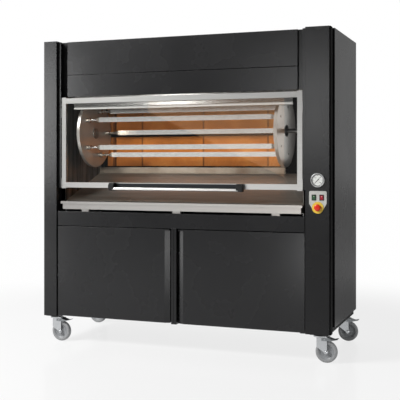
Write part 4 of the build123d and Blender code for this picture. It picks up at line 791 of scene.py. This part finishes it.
def two_mouldings(name, low_colour, high_colour, height, roughness):
    """One glossy plastic below a height and another above it."""
    material, tree, place = new_material(name)
    up = add_node(tree, "ShaderNodeSeparateXYZ", {"Vector": place}).outputs["Z"]
    above = add_node(tree, "ShaderNodeMath", {0: up, 1: height}, operation="GREATER_THAN")
    mould = {"Vector": place, "Scale": per_mm(FRAME_GRAIN_MM), "Detail": 3.0}
    grain = add_node(tree, "ShaderNodeTexNoise", mould)
    mixed = {"Factor": above, "A": linear(low_colour), "B": linear(high_colour)}
    mix = add_node(tree, "ShaderNodeMix", mixed, data_type="RGBA").outputs["Result"]
    surface = {"Base Color": mottled(tree, mix, grain, FRAME_TONES), "Roughness": roughness}
    coat(tree, surface, {"Height": grain, "Distance": FRAME_DEPTH_MM * MM})
    return material


mouldings = two_mouldings("switch_mouldings", "ecc84a", "161616", RING_TOP, 0.4)
nodes["switch_bezels"].data.materials[0] = mouldings
cap_outline = [(0, -16), (8.2, -16), (8.6, -15.5), (8.6, 10.2), (16.8, 10.2), (18.3, 10.9)]
cap_outline += [(19, 12.6), (18.8, 14.2), (17.9, 15.9), (16.0, 17.3), (12.5, 18.3), (7.0, 18.85)]
cap_outline += [(0, 19)]
turned_piece(
    "stop_cap", [cap_outline], frame_at(STOP, FRONT), 64,
    [mushroom_red], "stop_button", ["stop_button"],
)

# %% [markdown]
# ## Marks and screws of the control plate
# The start switch has a pale lens in its upper half and the stop switch a printed ring. Each mark
# lies on its rocker and tilts with it. Five countersunk screws hold the plate.

# %% Switch marks and plate screws
MARK_HEIGHT = 0.9425
MARK_DEPTH_MM, MARK_LIFT_MM = 0.3, 0.12
START_X, STOP_X = 0.830, 0.874
PLATE_FACE = -0.3675
PLATE_LEFT, PLATE_MIDDLE, PLATE_RIGHT = 0.8095, 0.852, 0.8945
PLATE_TOP, PLATE_WAIST = 0.9655, 0.9070


def on_front(node, x, z):
    """The frame that sits where a level line from the front meets a piece, facing outwards."""
    _, place, normal, _ = nodes[node].ray_cast(Vector((x, -1.0, z)), Vector((0.0, 1.0, 0.0)))
    return frame_at(place, normal)


shape = bmesh.new()
half = Vector((2.0, 3.4, 0.0)) * MM
base, lift = Vector((0.0, 0.0, -MARK_DEPTH_MM * MM)), Vector((0.0, 0.0, MARK_LIFT_MM * MM))
corners = boxed(shape, base - half, lift + half)
bmesh.ops.transform(shape, matrix=on_front("start_rocker", START_X, MARK_HEIGHT), verts=corners)
start_mesh = finished("start_rocker_mark", shape, [mark_green])
add_piece("start_rocker_mark", start_mesh, "start_rocker")
ring = [(1.9, -MARK_DEPTH_MM), (2.7, -MARK_DEPTH_MM), (2.7, MARK_LIFT_MM), (1.9, MARK_LIFT_MM)]
turned_piece(
    "stop_rocker_mark", [ring], on_front("stop_rocker", STOP_X, MARK_HEIGHT), 24,
    [mark_white], "stop_rocker",
)
plate_screws = [(x, PLATE_FACE, PLATE_TOP) for x in (PLATE_LEFT, PLATE_MIDDLE, PLATE_RIGHT)]
plate_screws += [(x, PLATE_FACE, PLATE_WAIST) for x in (PLATE_LEFT, PLATE_RIGHT)]
heads(
    "plate_screws", plate_screws, FRONT, zinc_plate, "casing", "zinc_plate",
    base_radius=0.0024, top_radius=0.0017, height=0.0009, sides=20,
)
print("marks on two rockers,", len(plate_screws), "plate screws")

# %% [markdown]
# ## Strip behind the door's handle
# Two black blocks hold a tube. Between them a dark strip on the door's bottom rail gives the
# painted shade and reflection of the tube, with a bright upper edge.

# %% Handle strip
STRIP_INSET = 0.034
STRIP_BOTTOM, STRIP_EDGE, STRIP_TOP = 0.9785, 1.0045, 1.0075
STRIP_BACK, STRIP_FACE, EDGE_FACE = 0.0001, 0.0012, 0.0020
STRIP_BEVEL = 0.0003
blocks_low, blocks_high = corners_of("handle_blocks")
rail_face = corners_of("door_frame")[0].y
strip_x = (blocks_low.x + STRIP_INSET, blocks_high.x - STRIP_INSET)
shape = bmesh.new()
for index, (face, bottom, top) in enumerate(
    ((STRIP_FACE, STRIP_BOTTOM, STRIP_EDGE), (EDGE_FACE, STRIP_EDGE, STRIP_TOP))
):
    low = (strip_x[0], rail_face - face, bottom)
    boxed(shape, low, (strip_x[1], rail_face - STRIP_BACK, top), index)
bmesh.ops.bevel(shape, geom=shape.edges[:], offset=STRIP_BEVEL, segments=1, affect="EDGES")
strip_mesh = finished("handle_strip", shape, [rail_shade_metal, frame_steel])
add_piece("handle_strip", strip_mesh, "door")
print("strip faces", len(strip_mesh.polygons))

# %% [markdown]
# ## Roof visor
# The strip under the chamber's roof keeps smoke from the glass. It is folded from one bright
# sheet, and its lower edge is rolled inwards, which makes it stiff and catches a line of light.

# %% Folded visor
VISOR_SHEET = 0.0015
ROLL_RADIUS, ROLL_STEPS = 0.012, 8
ROLL_START, ROLL_MIDDLE, ROLL_LIP = 1.488, 1.478, 1.484
visor_low, visor_high = corners_of("roof_visor")


def visor_side(inset):
    """One side of the folded sheet as (Y, Z): down from the roof, round the roll and up its lip."""
    radius = ROLL_RADIUS - inset
    middle = visor_low.y + ROLL_RADIUS
    side = [(visor_low.y + inset, visor_high.z), (visor_low.y + inset, ROLL_START)]
    for index in range(1, ROLL_STEPS + 1):
        angle = math.pi * index / ROLL_STEPS
        side.append((middle - radius * math.cos(angle), ROLL_MIDDLE - radius * math.sin(angle)))
    return side + [(side[-1][0], ROLL_LIP)]


outer = visor_side(0.0)
outline = outer + visor_side(VISOR_SHEET)[::-1]
shape = bmesh.new()
ends = [[shape.verts.new((x, y, z)) for y, z in outline] for x in (visor_low.x, visor_high.x)]
for index in range(len(outline)):
    after = (index + 1) % len(outline)
    shape.faces.new([ends[0][index], ends[0][after], ends[1][after], ends[1][index]])
for end in ends:
    for index in range(len(outer) - 1):
        back = len(outline) - 1 - index
        shape.faces.new([end[index], end[index + 1], end[back - 1], end[back]])
visor_mesh = finished("folded_visor", shape, [visor_steel])
add_piece("folded_visor", visor_mesh, "casing", ["roof_visor"])
print("visor faces", len(visor_mesh.polygons))

# %% [markdown]
# ## Caster wheels
# Each wheel has a grey rubber tyre moulded on a polypropylene rim with a raised hub. Both outlines
# are turned about the axle. A bolt with a washer on each side holds the wheel in its fork.

# %% Tyres, rims and axle bolts
FORK_FACE, BOLT_LIFT = 0.0214, 0.0050
SIDES = ("front_left", "front_right", "rear_left", "rear_right")
tyre_outline = [(44, 12.5), (45.5, 14.6), (48.5, 15.6), (54, 15.8), (58.5, 14.6), (61.2, 11.5)]
tyre_outline += [(62.5, 6.5)]
tyre_outline += [(radius, -height) for radius, height in reversed(tyre_outline)]
rim_outline = [(5.6, 16), (12.5, 16), (14, 14.8), (14.6, 11.5), (16.5, 9.2), (30, 7.6), (37, 8.6)]
rim_outline += [(40.5, 11.6), (43, 13.4), (44.6, 12.9)]
rim_outline += [(radius, -height) for radius, height in reversed(rim_outline)]
for side in SIDES:
    wheel = side + "_wheel"
    low, high = corners_of(wheel)
    hub = (low + high) / 2
    turned_piece(
        side + "_tyre", [tyre_outline, rim_outline], frame_at(hub, (0.0, 1.0, 0.0)), 64,
        [wheel_rubber, rim_grey], wheel, [wheel],
    )
    for label, way in (("_front", -1.0), ("_back", 1.0)):
        facing = Vector((0.0, way, 0.0))
        face = hub + facing * FORK_FACE
        heads(
            side + label + "_washer", [face], facing, zinc_plate, side + "_fork", "zinc_plate",
            base_radius=0.0125, top_radius=0.0120, height=0.0012, sides=32,
        )
        face = face + facing * BOLT_LIFT
        heads(
            side + label + "_bolt", [face], facing, zinc_plate, side + "_fork", "zinc_plate",
            base_radius=0.0079, top_radius=0.0056, height=0.0018, sides=24,
        )
print("wheels", len(SIDES))

# %% [markdown]
# ## Screws of the top sheet and the flue
# Pan-head screws hold the top sheet to the frame every 200 mm, and eight hold the flue's flange.

# %% Screws on the top
SCREWS_IN_ROW, ROW_INSET, END_INSET = 10, 0.016, 0.03
FLUE = Vector((-0.024, 0.1145, 1.901))
FLANGE_SCREWS, FLANGE_CIRCLE = 8, 0.1125
UP = Vector((0.0, 0.0, 1.0))
top_low, top_high = corners_of("top_panel")
pitch = (top_high.x - top_low.x - 2 * END_INSET) / (SCREWS_IN_ROW - 1)
row_x = [top_low.x + END_INSET + pitch * index for index in range(SCREWS_IN_ROW)]
row_y = (top_low.y + ROW_INSET, top_high.y - ROW_INSET)
screw_points = [(x, y, top_high.z) for y in row_y for x in row_x]
turns = [2 * math.pi * index / FLANGE_SCREWS for index in range(FLANGE_SCREWS)]
arms = [Vector((math.cos(turn), math.sin(turn), 0.0)) for turn in turns]
flange_points = [FLUE + arm * FLANGE_CIRCLE for arm in arms]
for name, points, slot in (
    ("top_screws", screw_points, "zinc_plate"),
    ("flange_screws", flange_points, "brushed_stainless"),
):
    heads(
        name, points, UP, slot_finish[slot], "casing", slot, [(1.0, 0.0, 0.0)] * len(points),
        base_radius=0.0042, top_radius=0.0028, height=0.0021, sides=16,
    )
print("top screws", len(screw_points), "flange screws", len(flange_points))

# %% [markdown]
# ## Camera
# The photograph was taken from the right front at about chest height, with a level camera whose
# picture plane is shifted down. Its place, turn and focal length were fitted to the straight edges
# of the casing. The Standard view transform shows colours as they are written.

# %% Set the camera
PICTURE_WIDTH = 400
FOCAL_PIXELS = 851.9
HORIZON_ROW = 162.93
CAMERA_PLACE = (1.932872, -5.077253, 1.130874)
CAMERA_TURN = 0.363
camera_data = bpy.data.cameras.new("camera")
camera = bpy.data.objects.new("camera", camera_data)
bpy.context.scene.collection.objects.link(camera)
camera_data.sensor_width = 36.0
camera_data.lens = FOCAL_PIXELS / PICTURE_WIDTH * camera_data.sensor_width
camera_data.shift_y = (HORIZON_ROW - PICTURE_WIDTH / 2) / PICTURE_WIDTH
camera_data.clip_end = 200.0
camera.location = CAMERA_PLACE
camera.rotation_euler = (math.radians(90.0), 0.0, CAMERA_TURN)
bpy.context.scene.camera = camera
bpy.context.scene.view_settings.view_transform = "Standard"
print("lens", round(camera_data.lens, 2), "mm, shift", round(camera_data.shift_y, 4))

# %% [markdown]
# ## Floor and room
# A product shot on a white sweep. The floor is white with only a faint shadow and a faint
# reflection near the oven. Behind the oven the room is white, and the side behind the camera is
# dark, as in a real studio: what steel, paint and glass mirror decides how they look. Light that
# enters the glass, bounces off its second face and leaves again is a transmission ray too, so such
# rays find the white only where they run towards the back of the room.

# %% Build the floor and the room
FLOOR_HALF = 30.0
FLOOR_GLOW = 1.07
POLISH_SHARE, POLISH_ROUGHNESS = 0.1, 0.12
MIRROR_NEAR, MIRROR_FAR = 1.2, 1.5
SWEEP_START, SWEEP_END, SWEEP_SHARE = 1.6, 3.4, 0.8  # distances, and the glow's share near by
OVEN_FRONT = -0.45  # rays that pass the glass see white only behind this
DARK_SIDE, BRIGHT_SIDE = -0.35, 0.6  # Y of the directions where the room is darkest and brightest
ROOM_DARK, ROOM_BRIGHT = 0.12, 0.42
ROOM_BEHIND = -0.2


def make_floor():
    """A wide floor that is white in the picture, with a faint shadow and a faint reflection."""
    material, tree, place = new_material("pale_floor")
    matt = {"Base Color": linear("e6e6e6"), "Roughness": 0.5}
    paper = add_node(tree, "ShaderNodeBsdfPrincipled", matt)
    from_oven = add_node(tree, "ShaderNodeVectorMath", {0: place}, operation="LENGTH")
    from_oven = from_oven.outputs["Value"]
    fade = {"Value": from_oven, "From Min": SWEEP_START, "From Max": SWEEP_END}
    fade["To Min"] = SWEEP_SHARE
    far = add_node(tree, "ShaderNodeMapRange", fade, interpolation_type="SMOOTHSTEP")
    white = add_node(tree, "ShaderNodeEmission", {"Strength": FLOOR_GLOW})
    polish = add_node(tree, "ShaderNodeBsdfGlossy", {"Roughness": POLISH_ROUGHNESS})
    sweep = add_node(tree, "ShaderNodeMixShader", {0: far, 1: paper, 2: white})
    sheen = add_node(tree, "ShaderNodeMixShader", {0: POLISH_SHARE, 1: sweep, 2: polish})
    ray = add_node(tree, "ShaderNodeLightPath").outputs
    close = {"Value": from_oven, "From Min": MIRROR_FAR, "From Max": MIRROR_NEAR}
    near = add_node(tree, "ShaderNodeMapRange", close, interpolation_type="SMOOTHSTEP")
    mirrored = {0: near, 1: ray["Is Glossy Ray"]}
    mirrored = add_node(tree, "ShaderNodeMath", mirrored, operation="MULTIPLY")
    depth = add_node(tree, "ShaderNodeSeparateXYZ", {"Vector": place}).outputs["Y"]
    behind = {0: depth, 1: OVEN_FRONT}
    behind = add_node(tree, "ShaderNodeMath", behind, operation="GREATER_THAN")
    through = {0: behind, 1: ray["Is Transmission Ray"]}
    through = add_node(tree, "ShaderNodeMath", through, operation="MULTIPLY")
    seen = {0: mirrored, 1: ray["Is Camera Ray"]}
    seen = add_node(tree, "ShaderNodeMath", seen, operation="MAXIMUM")
    seen = add_node(tree, "ShaderNodeMath", {0: seen, 1: through}, operation="MAXIMUM")
    ground = add_node(tree, "ShaderNodeMixShader", {0: seen, 1: paper, 2: sheen})
    add_node(tree, "ShaderNodeOutputMaterial", {"Surface": ground})
    corners = [(-1, -1), (1, -1), (1, 1), (-1, 1)]
    mesh = bpy.data.meshes.new("floor")
    mesh.from_pydata([(x * FLOOR_HALF, y * FLOOR_HALF, 0) for x, y in corners], [], [(0, 1, 2, 3)])
    mesh.materials.append(material)
    floor = bpy.data.objects.new("floor", mesh)
    bpy.context.scene.collection.objects.link(floor)
    floor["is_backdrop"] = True


def make_room():
    """White where it is seen; as a light, bright behind the oven and dark behind the camera."""
    world = bpy.data.worlds.new("studio")
    bpy.context.scene.world = world
    world.use_nodes = True
    tree = world.node_tree
    tree.nodes.clear()
    way = add_node(tree, "ShaderNodeTexCoord").outputs["Generated"]
    back = add_node(tree, "ShaderNodeSeparateXYZ", {"Vector": way}).outputs["Y"]
    fade = {"Value": back, "From Min": DARK_SIDE, "From Max": BRIGHT_SIDE}
    fade.update({"To Min": ROOM_DARK, "To Max": ROOM_BRIGHT})
    depth = add_node(tree, "ShaderNodeMapRange", fade, interpolation_type="SMOOTHSTEP")
    ray = add_node(tree, "ShaderNodeLightPath").outputs
    behind = {0: back, 1: ROOM_BEHIND}
    behind = add_node(tree, "ShaderNodeMath", behind, operation="GREATER_THAN")
    through = {0: behind, 1: ray["Is Transmission Ray"]}
    through = add_node(tree, "ShaderNodeMath", through, operation="MULTIPLY")
    seen = {0: through, 1: ray["Is Camera Ray"]}
    seen = add_node(tree, "ShaderNodeMath", seen, operation="MAXIMUM")
    strength = add_node(tree, "ShaderNodeMath", {0: depth, 1: seen}, operation="MAXIMUM")
    white = {"Color": linear("ffffff"), "Strength": strength}
    light = add_node(tree, "ShaderNodeBackground", white)
    add_node(tree, "ShaderNodeOutputWorld", {"Surface": light})


make_floor()
make_room()
print("floor and room ready")

# %% [markdown]
# ## Lamps
# One large softbox at the upper left lights everything. The others light only some pieces, as a
# photographer's flags would see to. Two tall glows, a low one and three fills shape the paint. A
# wide bank gives the steel its even white, and a warm light opens the chamber. Small lamps bring
# out the tiles, the ledge, the visor, the right disc, the casters and the grips of the cabinet
# doors. A dim card with a slanted edge, which only the door's glass mirrors, stands for the haze on
# that glass.


# %% Helpers for light
def lit(name, *pieces):
    """A collection of pieces that a lamp is kept to."""
    group = bpy.data.collections.new(name)
    for piece in pieces:
        group.objects.link(bpy.data.objects[piece])
    return group


def with_slots(*slots):
    """The names of the mechanical pieces that have one of these finishes."""
    return [nodes[part["node"]].name for part in subparts if part["material_slot"] in slots]


def make_lamp(name, place, aim, size, watts, colour, only):
    """A rectangular soft light at a place, facing a point, for all pieces or for some."""
    data = bpy.data.lights.new(name, "AREA")
    data.shape = "RECTANGLE"
    data.size, data.size_y = size
    data.energy = watts
    data.color = linear(colour)[:3]
    lamp = bpy.data.objects.new(name, data)
    bpy.context.scene.collection.objects.link(lamp)
    lamp.location = place
    direction = Vector(aim) - Vector(place)
    lamp.rotation_euler = direction.to_track_quat("-Z", "Y").to_euler()
    lamp.visible_camera = False
    if only:
        lamp.light_linking.receiver_collection = only


def make_card(name, depth, outline, strength, colour, only):
    """A flat glowing card at a depth that shows only in the reflections of some pieces."""
    material, tree, _ = new_material(name)
    glow = add_node(tree, "ShaderNodeEmission", {"Strength": strength, "Color": linear(colour)})
    add_node(tree, "ShaderNodeOutputMaterial", {"Surface": glow})
    mesh = bpy.data.meshes.new(name)
    mesh.from_pydata([(x, depth, z) for x, z in outline], [], [tuple(range(len(outline)))])
    mesh.materials.append(material)
    card = bpy.data.objects.new(name, mesh)
    bpy.context.scene.collection.objects.link(card)
    card.visible_camera = False
    card.visible_diffuse = False
    card.visible_shadow = False
    card.light_linking.receiver_collection = only
    card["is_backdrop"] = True


print("light helpers ready")

# %% [markdown]
# ## Where the lamps stand
# Most lamps stand where the piece that they light mirrors them towards the camera. Each row gives
# a lamp's name, its place, the point it faces, its width and height, its watts, its colour and what
# it lights. The chamber's lamps are a little warm, because light comes off its clay walls that way.

# %% Set the lamps
WHITE, WARM, WARMER = "ffffff", "fff4e8", "fff0de"
painted = lit("painted_pieces", *with_slots("charcoal_paint"))
steels = lit(
    "steel_pieces",
    *with_slots("brushed_stainless", "polished_stainless", "zinc_plate", "control_aluminium"),
    "thermometer_body", "handle_strip", "plate_screws",
)
tiles = lit("tile_pieces", "refractory_tiles")
ledge = lit("ledge_pieces", "ember_trough")
visor = lit("visor_pieces", "folded_visor")
disc = lit("disc_pieces", "right_disc")
chamber = lit("chamber_pieces", "chamber_shell", "drip_slope", "left_disc", "drip_tray")
casters = lit("caster_pieces", *[p.name for p in bpy.data.objects if p.name.startswith(SIDES)])
cabinet = lit("cabinet_pieces", "left_cabinet_door", "right_cabinet_door")
glass = lit("glass_pieces", "door_glass")
for lamp in (
    ("key_softbox", (-3.4, -3.4, 4.2), (0.0, -0.3, 0.9), (2.0, 2.0), 430, WHITE, None),
    ("chamber_front", (1.5, -3.2, 1.8), (-0.1, 0.0, 1.2), (1.8, 1.2), 125, WARM, chamber),
    ("left_glow", (-2.3, -2.45, 1.55), (-0.87, -0.36, 1.4), (0.55, 1.2), 22, WHITE, painted),
    ("right_glow", (-0.4, -5.9, 1.8), (0.85, -0.36, 1.5), (1.2, 1.1), 30, WHITE, painted),
    ("steel_front", (-1.8, -6.0, 1.0), (-0.2, -0.3, 1.2), (4.2, 1.6), 25, WHITE, steels),
    ("tile_lamp", (0.1, -1.9, 1.75), (-0.05, 0.2, 1.26), (1.4, 0.6), 60, WARMER, tiles),
    ("ledge_lamp", (-1.05, -2.4, 1.15), (-0.05, 0.17, 1.08), (1.3, 0.5), 10, WARMER, ledge),
    ("visor_lamp", (-2.4, -6.0, 1.7), (-0.02, -0.3, 1.49), (0.4, 1.2), 9, WHITE, visor),
    ("disc_lamp", (0.71, 0.16, 1.33), (0.59, -0.1, 1.33), (0.03, 0.36), 0.17, WHITE, disc),
    ("caster_fill", (4.5, -2.0, 1.2), (0.85, 0.0, 0.07), (1.6, 1.2), 60, WHITE, casters),
    ("right_fill", (4.0, 0.3, 1.1), (0.93, 0.1, 1.0), (1.6, 1.6), 20, WHITE, painted),
    ("left_fill", (-4.0, 0.3, 1.1), (-0.93, 0.1, 1.0), (1.6, 1.6), 20, WHITE, painted),
    ("rear_fill", (-1.2, 3.6, 1.1), (0.0, 0.38, 1.0), (1.6, 1.6), 24, WHITE, painted),
    ("left_low", (-2.55, -2.45, 0.35), (-0.8, -0.36, 0.6), (0.4, 0.5), 3, WHITE, painted),
    ("left_grip_lamp", (0.55, -2.25, 0.42), (-0.07, -0.35, 0.5), (0.5, 0.4), 5, WHITE, cabinet),
    ("right_grip_lamp", (-1.8, -1.23, 0.42), (0.0, -0.35, 0.5), (0.5, 0.4), 3, WHITE, cabinet),
):
    make_lamp(*lamp)
haze = [(-2.99, 1.85), (-1.37, 1.10), (-1.02, 0.94), (-1.02, 2.4), (-2.99, 2.4)]
make_card("haze_card", -6.5, haze, 1.2, "ffcfa8", glass)

# %% Print the size of what is drawn
low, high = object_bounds()
print("visual box", [round(v, 4) for v in (*low, *high)])
